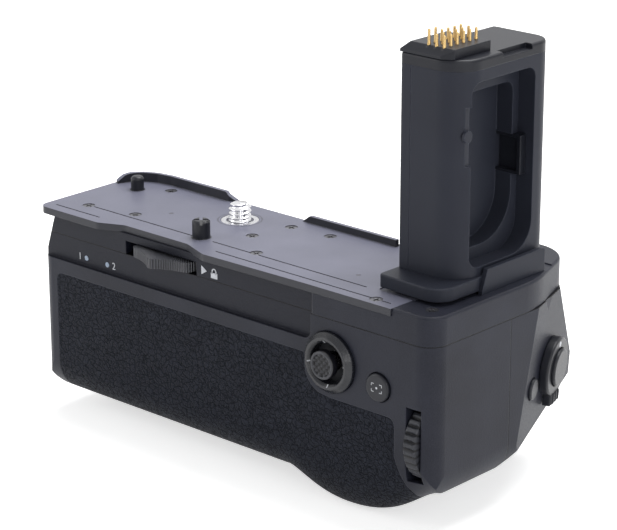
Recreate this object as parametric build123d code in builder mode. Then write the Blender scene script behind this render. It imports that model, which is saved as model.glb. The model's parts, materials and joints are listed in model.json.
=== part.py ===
"""Vertical battery grip for a camera: housings, deck, contact tower, battery tray and controls.

Millimetres. +X runs along the grip to the shutter end, -Y is the rear (thumb) face and +Z is up.
The origin is the axis of the attachment screw where it crosses the deck.
"""
from build123d import *
import math
import os

os.makedirs("parts", exist_ok=True)

# Whole body
body_left = -52.5
body_right = 92.6
rear_y = -27.4
bay_front_y = 25.4
base_z = -57.0
seam_z = -8.0
parting_y = 4.4
skin_depth = 1.2
seat_gap = 0.1
run_gap = 0.05
clear_gap = 0.35
overrun = 3.0

# Lower body: the section changes along the palm swell
turn_flat = 11.0
front_turn = 6.0
shoulder_drop = 6.0
shoulder_run = 4.0
swell_x = (38.0, 46.0, 54.0, 62.0, 70.0, 78.0, 85.0, body_right)
swell_bottom = (base_z, -58.8, -60.8, -61.0, -59.8, -56.5, -52.0, -49.5)
swell_turn_y = (turn_flat, 10.0, 8.6, 8.0, 8.0, 8.0, 8.0, 9.0)
swell_turn_z = (turn_flat, 12.0, 13.6, 14.2, 14.2, 13.4, 12.0, 10.5)
ellipse_share = 0.5523
lean_top_x = -47.8
lean_top_z = -2.0
lean_mid_x = -51.4
lean_mid_z = -13.0
left_round = 4.0
left_low_round = 10.5
left_foot_run = 16.0
end_low_z = -46.5
end_foot = (84.0, -58.5)
end_low_round = 10.0
end_round = 5.5
body_low_z = -64.0

# Recessed panel on the upper left of the rear face
panel_right = 51.5
panel_low = -15.2
panel_y = -26.0
panel_round = 2.5

# Rubber on the rear face
rubber_left = -46.4
rubber_top = -19.2
rubber_turn = (49.3, -28.8)
rubber_mid_z = -29.7
rubber_right = 80.3
rubber_right_z = (-34.0, -40.0)
rubber_swell = (84.6, -50.0)
rubber_under_y = -17.0
rubber_round = 2.3
rubber_turn_round = 7.0

# Upper body plan, right of the panel
front_y = 39.5
grip_left_x = 54.0
left_front_y = 12.0
left_foot_y = 21.4
root_x = 46.0
end_bend_y = 15.5
nose_x = 84.0
end_bend_round = 25.0
nose_round = 12.0
grip_round = 7.0
top_round = 0.8

# Handgrip block and shutter shoulder on the front
block_low = -50.0
hand_x = (-10.0, 8.0)
hand_root_y = 20.0
hand_y = 30.0
hand_top = (22.0, -17.0)
pod_step_x = (58.0, 66.0)
pod_front_y = 46.5
pod_top_z = -27.0
brow_place = (84.4, 35.6)
brow_turn = 42.0
brow_rise = 0.2
shoulder_y = 12.4
shoulder_z = -25.0
shoulder_turn = 18.0
shoulder_tip = 4.0
pod_round = 6.0
hand_round = 5.0
under_z = -49.5
under_rise = 0.35
under_fall = 0.4
cutter_size = 200.0

# Battery bay
bay_rear_y = -23.4
bay_front_inner_y = 23.0
bay_low_z = -52.4
bay_top_z = -10.0
bay_end_x = 14.5
bay_round = 4.0

# Electronics room
room_x = (17.0, 82.0)
room_y = (-22.6, 18.0)
room_low_z = -45.0
room_round = 4.0
swell_room_x = (42.0, 66.0)
swell_room_y = (-18.0, 3.0)
swell_room_z = -54.5
pod_room_x = (66.0, 80.0)
pod_room_y = 36.5
pod_room_z = (-38.0, -16.0)

# Deck plate
plate_thick = 2.0
plate_x = (-51.8, 79.0)
plate_rear_y = -28.7
plate_right_rear_y = -27.8
plate_notch_y = -25.3
plate_notch_x = (-27.5, -20.0, 4.5, 13.5)
plate_turn_x = 50.0
plate_round = 3.0
lip_height = 2.7
lip_low_height = 2.0
lip_wall = 1.2
lip_left = ((-50.6, 1.0), (-49.4, 4.6), (-46.6, 7.9), (-42.6, 9.9), (-37.6, 10.7), (-14.3, 10.7), (-12.0, 12.2))
lip_rise = ((1.8, 1.4), (3.2, 2.3), (5.4, 2.7))
lip_fall_x = (-15.4, -12.2)
lip_right_fall_x = (14.0, 16.6)
lip_right = ((13.5, 11.2), (48.1, 11.2))
groove_width = 0.45
groove_deep = 0.35
groove_lines = ((-39.0, 0.6, -19.2), (8.0, 63.6, -19.2), (-48.4, -30.5, -25.0), (14.5, 76.4, -24.6))

# Screws that hold the deck, the upper housing, the base and the tower
deck_screw_places = ((-25.0, -16.4), (12.5, -8.2), (15.3, 4.6), (28.7, 5.8), (23.5, -18.2))
body_screw_places = ((-41.0, -19.3), (-33.6, 6.3), (71.5, -24.6), (87.1, -21.2))
body_screw_long = 8.0
base_screw_sink = 2.0
tower_screw_places = ((70.6, -14.6), (77.4, -14.6), (77.4, 12.0))
tower_screw_long = 6.6
screw_head_radius = 1.75
screw_head_deep = 1.1
screw_shank_radius = 0.9
screw_length = 4.2
cross_width = 0.45
cross_span = 2.2
cross_deep = 0.6
screw_sink = 0.15
upper_room_x = (34.0, 80.0)
upper_room_y = (-21.5, 15.0)
upper_room_top = -3.6
front_pocket_x = (54.0, 80.0)
front_pocket_y = (19.0, 33.0)
wire_x = (69.6, 73.0)
wire_y = (-8.0, 4.0)
mesh_start = -67.5
journal_radius = 3.6
collar_high = 0.0

# Locating pins
pin_left_place = (-41.9, 0.8)
pin_left_radius = 1.9
pin_left_high = 4.1
pin_left_dome = 1.1
pin_rear_place = (3.0, -18.4)
pin_rear_radius = 2.5
pin_rear_high = 5.0
pin_rear_bevel = 0.5
pin_seat = 1.2
pin_root = 0.3
pin_notch = 0.9

# Attachment screw, its gear and the lock wheel
stud_radius = 3.175
stud_high = 5.0
stud_lead = 0.8
stud_hole_radius = 3.9
ring_radius = 5.3
ring_z = (-0.4, -0.05)
shank_radius = 2.4
pivot_radius = 1.2
pivot_deep = 1.5
gear_module = 0.6
wheel_teeth = 24
screw_teeth = 33
tooth_root_share = 0.30
tooth_tip_share = 0.10
addendum = 0.75
dedendum = 1.1
wheel_place = (-4.5, -16.5)
wheel_tip_radius = 14.8
scallops = 8
scallop_radius = 20.0
scallop_depth = 1.55
wheel_z = (-7.5, -4.7)
gear_z = (-4.5, -3.0)
wheel_room = 0.5
slot_x = (-19.0, 8.6)
slot_top = -4.1
slot_deep_y = -21.0
axle_radius = 1.5
axle_foot_radius = 2.6
axle_foot = 0.3

# Contact tower
flange_x = (66.9, 88.9)
flange_y = (-18.4, 27.2)
flange_z = (0.8, 4.3)
flange_round = 5.5
flange_front_round = 7.0
flange_seat = 0.3
tower_seam_x = 71.0
flange_skew = 0.9
gasket_inset = 1.6
tower_x = (67.3, 87.3)
tower_y = (-11.5, 26.4)
tower_top_z = 58.6
tower_round = 8.0
tower_tight_round = 1.2
tower_wall = 1.6
cap_thick = 3.0
cap_round = 0.8
recess_y = (-6.4, 18.6)
recess_z = (6.8, 55.6)
recess_round_top = 3.0
recess_round_low = 8.0
ledge_x = 82.0
inner_y = (-4.0, 16.3)
inner_z = (10.2, 51.4)
inner_round = 3.0
inner_round_low = 12.0
corner_recess_y = (-9.4, -5.6)
corner_recess_z = (34.2, 49.4)
corner_recess_x = 85.9
boss_place = (-7.6, 42.0)
boss_radius = 1.6
boss_high = 0.8
snap_y = (13.4, 18.6)
snap_z = (26.4, 37.0)
snap_plate_x = (83.6, 84.8)
snap_plate_y = 16.3
snap_wall = 0.8
rim_notch_y = (5.0, 17.0)
rim_notch_deep = 1.4
rim_notch_in = 2.2
block_x = (67.3, 83.6)
block_y = (-11.5, 4.4)
block_high = 2.6
block_corner = (80.4, -9.9)
block_bevel = 1.9
rib_count = 7
rib_wide = 1.1
rib_long = 1.9
rib_deep = 0.7
pin_columns = 3
pin_rows = 6
contact_pitch = 2.5
contact_radius = 0.45
contact_high = 3.0
contact_tall = 1.0
contact_first = (74.9, -9.3)
contact_travel = 1.0
barrel_radius = 0.75
barrel_long = 5.1
tower_board_x = 70.6
tower_board_y = (-8.0, -4.6)
board_thick = 1.2

# Rear controls
stick_place = (58.6, -19.6)
stick_ring_radius = 8.3
stick_front_radius = 7.0
stick_ring_high = 2.3
stick_hole_radius = 5.6
stick_well = 7.0
stick_boot_thick = 0.7
stick_boot_hole = 2.6
stick_stem_radius = 1.6
stick_cap_radius = 3.9
stick_cap_proud = 3.9
stick_cap_thick = 2.4
stick_cap_lip = 0.5
stick_pivot_y = -21.4
stick_frame_radius = (3.4, 4.6)
stick_frame_thick = 2.0
stick_ball_radius = 2.6
focus_place = (75.0, -22.3)
focus_radius = 3.8
focus_proud = 0.9
focus_long = 4.2
button_round = 0.5
button_rim = 0.9
button_rim_thick = 0.8
dial_radius = 11.0
dial_x = (84.6, 88.4)
dial_y = -18.4
dial_z = -35.8
dial_slot_x = (84.1, 88.9)
dial_slot_z = (-46.0, -25.3)
dial_teeth = 32
dial_tooth = 0.5
dial_axle_radius = 1.4
dial_axle_x = (81.0, 90.4)
led_places = ((-35.2, -12.9), (-26.7, -12.9))
led_radius = 0.75
led_proud = 0.1

# Shutter group on the shoulder, measured along it from its crest
shutter_along = 17.2
shutter_rise = -4.0
lever_radius = 8.1
lever_thick = 2.4
lever_gap = 0.25
lever_tab = (6.4, 10.6)
lever_round = 0.6
shutter_radius = 5.2
shutter_proud = 3.6
shutter_stem_radius = 2.0
shutter_well = 6.0
lever_hub_radius = 6.9
lever_hub_deep = 2.0
function_along = 4.4
function_rise = -6.4
function_radius = 2.9
function_proud = 0.9
function_long = 3.2
button_fit = 0.25

# Base plate with the tripod socket
pad_x = (-34.0, 34.0)
pad_y = (-8.0, 20.0)
pad_round = 5.0
pad_low_z = -61.5
pad_sole = 2.0
socket_radius = 5.6
socket_collar = 7.4
socket_collar_thick = 1.0
socket_relief = 1.2
socket_room = 1.5
socket_y = 2.0
base_screw_inset = 5.0

# Front dial
front_dial_place = (48.0, -19.0)
front_dial_radius = 8.0
front_dial_wide = 6.5
front_dial_proud = 1.8

# Front rubber
front_rubber_x = (12.0, 54.0)
front_rubber_z = (-46.0, -30.0)

# Battery tray
tray_gap = 0.2
tray_sheet = 0.9
tray_spine = 1.6
tray_x = (-49.2, 13.0)
tray_block = 3.9
tray_end = 1.8
latch_place = (8.0, -20.2)
latch_recess = 1.6
latch_radius = 7.4
latch_grip = (2.6, 1.4)
latch_shaft_radius = 2.4
latch_reach = 11.2
latch_wide = 3.6
latch_thick = 1.2
latch_room = 11.8
latch_x = -48.2
latch_pocket = 0.35
battery_contact = (2.6, 8.0, 0.6)
battery_contact_pitch = 5.0
battery_contact_z = -20.0

# Boards and switches
main_board_x = (20.0, 78.0)
main_board_y = (-8.0, 12.0)
main_board_z = -12.0
switch_radius = 1.6
switch_high = 0.9

# Parts inside and behind the controls
foot_x = (88.1, 89.5)
foot_y = (-4.0, 22.0)
foot_high = 6.4
foot_round = 2.0
tower_front_round = 5.8
liner_x = 75.7
liner_back = 1.1
recess_back_x = liner_x + liner_back
barrel_top_gap = 0.5
wire_drop = 3.0
ring_bevel = 0.7
stick_socket_y = (-18.6, -24.0)
axle_pin_radius = 0.8
stick_press = 0.6
stick_sleeve = 1.6
thumb_board_y = -18.6
thumb_reach = 6.0
front_dial_teeth = 24
shutter_stem = 6.0
shutter_travel = 0.8
shutter_board_size = (10.0, 9.0)
board_chips = ((26.0, -4.0, 8.0, 8.0, 1.0), (40.0, -5.0, 10.0, 7.0, 1.4), (56.0, 2.0, 6.0, 6.0, 1.2),
               (66.0, -6.0, 9.0, 5.0, 2.6))
thumb_switch_radius = 2.4
thumb_switch_gap = 0.8
board_post_inset = 2.5
board_post_radius = 1.8
latch_face_x = -50.0
latch_cap = 0.5
battery_contact_first = 5.6
battery_contact_count = 3


def rear_plane(y):
    """Plane facing the rear at y, drawn with X to the right and Z up."""
    return Plane.XZ.offset(-y)


def shape(plane, points, rounds):
    """Closed outline with its own corner radius at each point; zero leaves the corner sharp."""
    with BuildSketch(plane) as outline:
        with BuildLine():
            Polyline(*points, close=True)
        make_face()
        for point, radius in zip(points, rounds):
            if radius:
                fillet(outline.vertices().sort_by_distance(Vector(*point))[0], radius)
    return outline.sketch


def panel(plane, x, y, radius):
    """Rectangle between two pairs of limits with rounded corners."""
    points = ((x[0], y[0]), (x[1], y[0]), (x[1], y[1]), (x[0], y[1]))
    return shape(plane, points, (radius,) * len(points))


def disc(plane, place, radius):
    """Circle at a place on a plane."""
    with BuildSketch(plane) as outline:
        with Locations(place):
            Circle(radius)
    return outline.sketch


def solid(outline, amount):
    """Block pushed out of an outline."""
    with BuildPart() as block:
        extrude(outline, amount=amount)
    return block.part


def post(place, radius, z):
    """Upright cylinder between two levels."""
    return solid(disc(Plane.XY.offset(z[0]), place, radius), z[1] - z[0])


def rear_post(place, radius, y):
    """Cylinder along Y from the first level out to the second, further back."""
    return solid(disc(rear_plane(y[0]), place, radius), y[0] - y[1])


def side_post(place, radius, x):
    """Cylinder along X between two levels, at a place given as Y and Z."""
    return solid(disc(Plane.YZ.offset(x[0]), place, radius), x[1] - x[0])


def box(x, y, z):
    """Plain block from three pairs of limits."""
    return solid(panel(Plane.XY.offset(z[0]), x, y, 0), z[1] - z[0])


def body_section(x, inset, bottom, turn_y, turn_z):
    """Section across the lower body: upright rear, a quarter ellipse under it, flat bottom."""
    rear = rear_y + inset
    low = bottom + inset
    side_y = turn_y - inset
    side_z = turn_z - inset
    with BuildSketch(Plane.YZ.offset(x)) as section:
        with BuildLine():
            Line((rear, seam_z), (rear, low + side_z))
            Bezier((rear, low + side_z), (rear, low + side_z * (1 - ellipse_share)),
                   (rear + side_y * (1 - ellipse_share), low), (rear + side_y, low))
            Polyline((rear + side_y, low), (bay_front_y - front_turn, low),
                     (bay_front_y, low + front_turn), (bay_front_y, seam_z - shoulder_drop),
                     (bay_front_y - shoulder_run, seam_z), (rear, seam_z))
        make_face()
    return section.sketch


def core_form(inset):
    """Lower body without its handgrip, drawn in by inset at the rear and below."""
    start = body_left - overrun
    with BuildPart() as form:
        extrude(body_section(start, inset, base_z, turn_flat, turn_flat), amount=swell_x[0] - start)
        loft([body_section(*at) for at in
              zip(swell_x, [inset] * len(swell_x), swell_bottom, swell_turn_y, swell_turn_z)])
    return form.part


def side_trim():
    """Both ends seen from the rear: the left end leans in at the top, low corners are round."""
    points = ((lean_top_x, overrun), (lean_top_x, lean_top_z), (lean_mid_x, lean_mid_z),
              (body_left, base_z), (body_left + left_foot_run, base_z - top_round),
              (body_left + left_foot_run, body_low_z), (end_foot[0], body_low_z), end_foot,
              (body_right, end_low_z), (body_right, overrun))
    rounds = (0, 0, 0, left_low_round, 0, 0, 0, 0, end_low_round, 0)
    return solid(shape(rear_plane(pod_front_y + overrun), points, rounds), cutter_size)


def plan_trim():
    """Upright rear corners of the lower body."""
    points = ((body_left, rear_y), (body_right, rear_y), (body_right, pod_front_y + overrun),
              (body_left, pod_front_y + overrun))
    return solid(shape(Plane.XY.offset(body_low_z), points, (left_round, end_round, 0, 0)),
                 seam_z - body_low_z)


# The shoulder leans out from the end face, its lower edge further back than its upper one
turn = math.radians(shoulder_turn)
tip = math.radians(shoulder_tip)
shoulder_out = (math.cos(turn) * math.cos(tip), math.sin(turn) * math.cos(tip), -math.sin(tip))
shoulder = Plane(origin=(body_right, shoulder_y, shoulder_z), x_dir=(-math.sin(turn), math.cos(turn), 0),
                 z_dir=shoulder_out)
pod_corner_x = body_right - (pod_front_y - shoulder_y) * math.tan(turn) + overrun

core = core_form(0)
inner_core = core_form(skin_depth)
ends = side_trim()

with BuildPart() as lower_form:
    add(core)
    hand_points = ((hand_x[0], hand_root_y), (hand_x[1], hand_y), (pod_step_x[0], hand_y),
                   (pod_step_x[1], pod_front_y), (pod_corner_x, pod_front_y), (body_right, shoulder_y),
                   (body_right, parting_y), (hand_x[1], parting_y))
    hand_rounds = (0, hand_round, hand_round, pod_round, pod_round, 0, 0, 0)
    extrude(shape(Plane.XY.offset(block_low), hand_points, hand_rounds), amount=seam_z - block_low)
    crown = ((hand_top[0], seam_z), (hand_y, hand_top[1]), (hand_y, overrun), (hand_top[0], overrun))
    extrude(shape(Plane.YZ.offset(hand_x[0]), crown, (0,) * len(crown)),
            amount=pod_step_x[0] - hand_x[0], mode=Mode.SUBTRACT)
    brow = ((front_y, seam_z), (pod_front_y, pod_top_z), (pod_front_y + overrun, pod_top_z),
            (pod_front_y + overrun, seam_z))
    extrude(shape(Plane.YZ.offset(hand_x[0]), brow, (0,) * len(brow)), amount=cutter_size,
            mode=Mode.SUBTRACT)
    brow_out = (math.cos(math.radians(brow_turn)), math.sin(math.radians(brow_turn)), brow_rise)
    brow_plane = Plane(origin=(brow_place[0], brow_place[1], seam_z), z_dir=brow_out)
    for cut_plane in (brow_plane, shoulder):
        with BuildSketch(cut_plane):
            Rectangle(cutter_size, cutter_size)
        extrude(amount=cutter_size, mode=Mode.SUBTRACT)
    with BuildSketch(Plane(origin=(body_right, 0, under_z), z_dir=(under_fall, under_rise, -1))):
        Rectangle(cutter_size, cutter_size)
    extrude(amount=cutter_size, mode=Mode.SUBTRACT)
    add(ends, mode=Mode.INTERSECT)
    add(plan_trim(), mode=Mode.INTERSECT)


# Rear rubber lies in a shallow bed of its own shape
with BuildPart() as rear_rubber:
    border = ((rubber_left, body_low_z), (rubber_left, rubber_top), (rubber_turn[0], rubber_top),
              rubber_turn, (stick_place[0], rubber_mid_z), (rubber_right, rubber_mid_z),
              (rubber_right, rubber_right_z[1]), rubber_swell, (rubber_swell[0], body_low_z))
    corners = (0, rubber_round, top_round, rubber_turn_round, 0, rubber_round, 0, 0, 0)
    extrude(shape(rear_plane(rubber_under_y), border, corners), amount=cutter_size)
    add(core, mode=Mode.INTERSECT)
    add(inner_core, mode=Mode.SUBTRACT)
rear_rubber.part.label = "rear_rubber"
export_step(rear_rubber.part, "parts/rear_rubber.step")

with BuildPart() as front_rubber:
    extrude(panel(Plane.XZ.offset(-hand_y), front_rubber_x, front_rubber_z, rubber_round),
            amount=skin_depth)
front_rubber.part.label = "front_rubber"
export_step(front_rubber.part, "parts/front_rubber.step")

# Hollow lower body, shared by the rear and the front housing
with BuildPart() as lower_body:
    add(lower_form.part)
    add(rear_rubber.part, mode=Mode.SUBTRACT)
    add(front_rubber.part, mode=Mode.SUBTRACT)
    extrude(shape(rear_plane(panel_y), ((body_left - overrun, panel_low), (panel_right, panel_low),
                                        (panel_right, overrun), (body_left - overrun, overrun)),
                  (0, panel_round, 0, 0)), amount=overrun, mode=Mode.SUBTRACT)
    bay_x = body_left - overrun
    extrude(panel(Plane.YZ.offset(bay_x), (bay_rear_y, bay_front_inner_y), (bay_low_z, bay_top_z),
                  bay_round), amount=bay_end_x - bay_x, mode=Mode.SUBTRACT)
    extrude(panel(Plane.XY.offset(room_low_z), room_x, room_y, room_round),
            amount=seam_z - room_low_z, mode=Mode.SUBTRACT)
    extrude(panel(Plane.XY.offset(swell_room_z), swell_room_x, swell_room_y, room_round),
            amount=room_low_z - swell_room_z, mode=Mode.SUBTRACT)
    add(box(pod_room_x, (room_y[1] - overrun, pod_room_y), pod_room_z), mode=Mode.SUBTRACT)
    # joystick and focus button
    add(rear_post(stick_place, stick_ring_radius + seat_gap, (rear_y + overrun / 2, rear_y - overrun)),
        mode=Mode.SUBTRACT)
    add(rear_post(stick_place, stick_well, (room_y[0] + overrun, rear_y)), mode=Mode.SUBTRACT)
    add(rear_post(focus_place, focus_radius + button_fit, (room_y[0] + overrun, rear_y - overrun)),
        mode=Mode.SUBTRACT)
    add(rear_post(focus_place, focus_radius + button_rim + button_fit,
                  (room_y[0] + overrun, rear_y + overrun * 2 / 3)), mode=Mode.SUBTRACT)
    # rear dial
    add(box(dial_slot_x, (rear_y - overrun, dial_y), dial_slot_z), mode=Mode.SUBTRACT)
    add(side_post((dial_y, dial_z), dial_radius + clear_gap * 2, dial_slot_x), mode=Mode.SUBTRACT)
    add(side_post((dial_y, dial_z), dial_axle_radius, dial_axle_x), mode=Mode.SUBTRACT)
    # front dial
    add(box((front_dial_place[0] - front_dial_wide / 2 - clear_gap,
             front_dial_place[0] + front_dial_wide / 2 + clear_gap),
            (hand_y + front_dial_proud - front_dial_radius * 2 - clear_gap * 2, hand_y + overrun),
            (front_dial_place[1] - front_dial_radius - clear_gap * 2,
             front_dial_place[1] + front_dial_radius + clear_gap * 2)), mode=Mode.SUBTRACT)
    add(side_post((hand_y + front_dial_proud - front_dial_radius, front_dial_place[1]), dial_axle_radius,
                  (front_dial_place[0] - front_dial_wide, front_dial_place[0] + front_dial_wide)),
        mode=Mode.SUBTRACT)
    for place in led_places:
        add(rear_post(place, led_radius, (bay_rear_y - top_round, rear_y)), mode=Mode.SUBTRACT)
    # shoulder group
    well = shoulder.offset(-lever_hub_deep * 2)
    extrude(disc(well, (shutter_along, shutter_rise), lever_hub_radius + run_gap),
            amount=cutter_size, mode=Mode.SUBTRACT)
    stem_low = shoulder.offset(-lever_hub_deep * 2 - shutter_well)
    extrude(disc(stem_low, (shutter_along, shutter_rise), shutter_stem_radius + button_fit),
            amount=cutter_size, mode=Mode.SUBTRACT)
    extrude(disc(shoulder.offset(-function_long - button_rim), (function_along, function_rise),
                 function_radius + button_fit), amount=cutter_size, mode=Mode.SUBTRACT)
    # pivots under the lock wheel and the attachment screw
    add(post((0, 0), pivot_radius + run_gap, (seam_z - pivot_deep, seam_z)), mode=Mode.SUBTRACT)
    add(post(wheel_place, axle_radius, (seam_z - pivot_deep, seam_z)), mode=Mode.SUBTRACT)
    # latch pocket in the roof of the bay
    add(box((latch_x - clear_gap, latch_x + latch_thick + clear_gap),
            (latch_place[0] - latch_reach / 2, latch_place[0] + latch_reach / 2),
            (bay_top_z - overrun, latch_place[1] + latch_reach + latch_pocket)), mode=Mode.SUBTRACT)
    # thread room behind the tripod socket
    add(post((0, socket_y), stud_radius + socket_relief, (base_z, base_z + socket_room)), mode=Mode.SUBTRACT)

screw_tip_z = -screw_sink - screw_head_deep - body_screw_long
base_screw_places = tuple((x, y) for x in (pad_x[0] + base_screw_inset, pad_x[1] - base_screw_inset)
                          for y in (pad_y[0] + base_screw_inset, pad_y[1] - base_screw_inset))
base_screw_z = pad_low_z + base_screw_sink

with BuildPart() as rear_housing:
    add(lower_body.part)
    add(box((body_left - overrun, body_right + overrun), (rear_y - overrun, parting_y),
            (body_low_z, overrun)), mode=Mode.INTERSECT)
    for place in body_screw_places:
        add(post(place, screw_shank_radius, (screw_tip_z, overrun)), mode=Mode.SUBTRACT)
    for place in base_screw_places:
        add(post(place, screw_shank_radius, (body_low_z, base_screw_z + screw_head_deep + screw_length)),
            mode=Mode.SUBTRACT)
rear_housing.part.label = "rear_housing"
export_step(rear_housing.part, "parts/rear_housing.step")

with BuildPart() as front_housing:
    add(lower_body.part)
    add(box((body_left - overrun, body_right + overrun), (parting_y, pod_front_y + overrun),
            (body_low_z, overrun)), mode=Mode.INTERSECT)
    for place in body_screw_places:
        add(post(place, screw_shank_radius, (screw_tip_z, overrun)), mode=Mode.SUBTRACT)
    for place in base_screw_places:
        add(post(place, screw_shank_radius, (body_low_z, base_screw_z + screw_head_deep + screw_length)),
            mode=Mode.SUBTRACT)
front_housing.part.label = "front_housing"
export_step(front_housing.part, "parts/front_housing.step")

# Deck plate
with BuildPart() as deck_blank:
    edge = ((plate_x[0], plate_rear_y), (plate_notch_x[0], plate_rear_y), (plate_notch_x[1], plate_notch_y),
            (plate_notch_x[2], plate_notch_y), (plate_notch_x[3], plate_rear_y),
            (plate_turn_x, plate_right_rear_y), (plate_x[1], plate_right_rear_y),
            (plate_x[1], left_front_y), (plate_x[0], left_front_y))
    edge_rounds = (plate_round, plate_round, plate_round, plate_round, plate_round, 0, 0, 0, plate_round)
    extrude(shape(Plane.XY.offset(-plate_thick), edge, edge_rounds), amount=plate_thick)

with BuildPart() as upper_right:
    crest = ((panel_right, rear_y), (body_right, rear_y), (body_right, end_bend_y), (nose_x, front_y),
             (grip_left_x, front_y), (root_x, left_front_y), (root_x, bay_rear_y), (panel_right, panel_y))
    crest_rounds = (top_round, end_round, end_bend_round, nose_round, grip_round, grip_round, 0, 0)
    extrude(shape(Plane.XY.offset(seam_z), crest, crest_rounds), amount=-seam_z)
    fillet(upper_right.faces().sort_by(Axis.Z)[-1].edges(), top_round)

with BuildPart() as tower_seat:
    seat = ((flange_x[0] - seat_gap, flange_y[0] - seat_gap),
            (foot_x[1] + seat_gap, flange_y[0] - flange_skew - seat_gap),
            (foot_x[1] + seat_gap, flange_y[1] + seat_gap), (flange_x[0] - seat_gap, flange_y[1] + seat_gap))
    extrude(shape(Plane.XY.offset(-flange_seat), seat, (tower_tight_round,) * len(seat)), amount=overrun)

gear_reach = gear_module * (wheel_teeth / 2 + addendum) + wheel_room
screw_gear_reach = gear_module * (screw_teeth / 2 + addendum) + wheel_room
disc_reach = wheel_tip_radius + wheel_room
with BuildPart() as upper_housing:
    slope = ((panel_y, seam_z), (left_foot_y, seam_z), (left_front_y, -plate_thick), (panel_y, -plate_thick))
    extrude(shape(Plane.YZ.offset(body_left - overrun), slope, (0, 0, 0, 0)),
            amount=grip_left_x - body_left + overrun)
    add(upper_right.part)
    add(ends, mode=Mode.INTERSECT)
    add(deck_blank.part, mode=Mode.SUBTRACT)
    add(tower_seat.part, mode=Mode.SUBTRACT)
    # lock wheel and gears
    add(post(wheel_place, disc_reach, (seam_z - overrun, slot_top)), mode=Mode.SUBTRACT)
    add(box(slot_x, (rear_y - overrun, slot_deep_y), (seam_z - overrun, slot_top)), mode=Mode.SUBTRACT)
    add(post(wheel_place, gear_reach, (seam_z, overrun)), mode=Mode.SUBTRACT)
    add(post((0, 0), screw_gear_reach, (seam_z, overrun)), mode=Mode.SUBTRACT)
    # rooms for the boards, the tower screws and their wires
    add(box(upper_room_x, upper_room_y, (seam_z - overrun, upper_room_top)), mode=Mode.SUBTRACT)
    add(box(front_pocket_x, front_pocket_y, (seam_z - overrun, upper_room_top)), mode=Mode.SUBTRACT)
    add(box(wire_x, wire_y, (upper_room_top - overrun, overrun)), mode=Mode.SUBTRACT)
    for place in tower_screw_places:
        add(post(place, screw_shank_radius, (upper_room_top, overrun)), mode=Mode.SUBTRACT)
    for place in deck_screw_places:
        add(post(place, screw_shank_radius, (-screw_sink - screw_head_deep - screw_length, overrun)),
            mode=Mode.SUBTRACT)
    for place in body_screw_places:
        add(post(place, screw_shank_radius, (screw_tip_z, overrun)), mode=Mode.SUBTRACT)
    add(post(body_screw_places[-1], screw_head_radius, (-screw_sink - screw_head_deep, overrun)),
        mode=Mode.SUBTRACT)
upper_housing.part.label = "upper_housing"
export_step(upper_housing.part, "parts/upper_housing.step")

with BuildPart() as deck_plate:
    add(deck_blank.part)
    add(tower_seat.part, mode=Mode.SUBTRACT)
    for line in (lip_left, lip_right):
        with BuildSketch() as lip:
            with BuildLine():
                Polyline(*line)
            trace(line_width=lip_wall)
        extrude(lip.sketch, amount=lip_height if line is lip_left else lip_low_height)
    # the left lip rises from its rear end and both lips slope down beside the screw
    rise = ((lip_left[0][1] - lip_wall, 0),) + lip_rise + ((lip_rise[-1][0], lip_height + overrun),
                                                           (lip_left[0][1] - lip_wall, lip_height + overrun))
    extrude(shape(Plane.YZ.offset(plate_x[0] - overrun), rise, (0,) * len(rise)),
            amount=-plate_x[0] + overrun + lip_fall_x[0], mode=Mode.SUBTRACT)
    falls = (((lip_fall_x[0], lip_height), (lip_fall_x[1], 0), (lip_fall_x[1] + overrun, 0),
              (lip_fall_x[1] + overrun, lip_height + overrun), (lip_fall_x[0], lip_height + overrun)),
             ((lip_right_fall_x[0], 0), (lip_right_fall_x[1], lip_low_height),
              (lip_right_fall_x[1], lip_low_height + overrun),
              (lip_right_fall_x[0] - overrun, lip_low_height + overrun), (lip_right_fall_x[0] - overrun, 0)))
    for fall in falls:
        extrude(shape(Plane.XZ.offset(-left_front_y - overrun), fall, (0,) * len(fall)),
                amount=overrun + overrun, mode=Mode.SUBTRACT)
    for start, end, y in groove_lines:
        add(box((start, end), (y - groove_width / 2, y + groove_width / 2), (-groove_deep, overrun)),
            mode=Mode.SUBTRACT)
    add(post((0, 0), journal_radius + run_gap, (-plate_thick - overrun, overrun)), mode=Mode.SUBTRACT)
    add(post((0, 0), ring_radius + seat_gap, (ring_z[0], overrun)), mode=Mode.SUBTRACT)
    for place in deck_screw_places + body_screw_places[:-1]:
        add(post(place, screw_shank_radius, (-plate_thick - overrun, overrun)), mode=Mode.SUBTRACT)
        add(post(place, screw_head_radius, (-screw_sink - screw_head_deep, overrun)), mode=Mode.SUBTRACT)
    for place, radius in ((pin_left_place, pin_left_radius), (pin_rear_place, pin_rear_radius)):
        add(post(place, radius + pin_root, (-pin_seat, overrun)), mode=Mode.SUBTRACT)
    add(box(wire_x, wire_y, (-plate_thick - overrun, overrun)), mode=Mode.SUBTRACT)
    for place in tower_screw_places:
        add(post(place, screw_shank_radius, (-plate_thick - overrun, overrun)), mode=Mode.SUBTRACT)
deck_plate.part.label = "deck_plate"
export_step(deck_plate.part, "parts/deck_plate.step")


def screw(place, top, length, up):
    """Cross recessed screw; its head is at the level top and its tip points down, or up when up is 1."""
    face = Plane(origin=(place[0], place[1], top), x_dir=(1, 0, 0), z_dir=(0, 0, -up))
    with BuildPart() as piece:
        extrude(disc(face, (0, 0), screw_head_radius), amount=-screw_head_deep)
        extrude(disc(face, (0, 0), screw_shank_radius), amount=-screw_head_deep - length)
        for width, span in ((cross_width, cross_span), (cross_span, cross_width)):
            extrude(panel(face, (-width / 2, width / 2), (-span / 2, span / 2), 0), amount=-cross_deep,
                    mode=Mode.SUBTRACT)
    return piece.part


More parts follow.
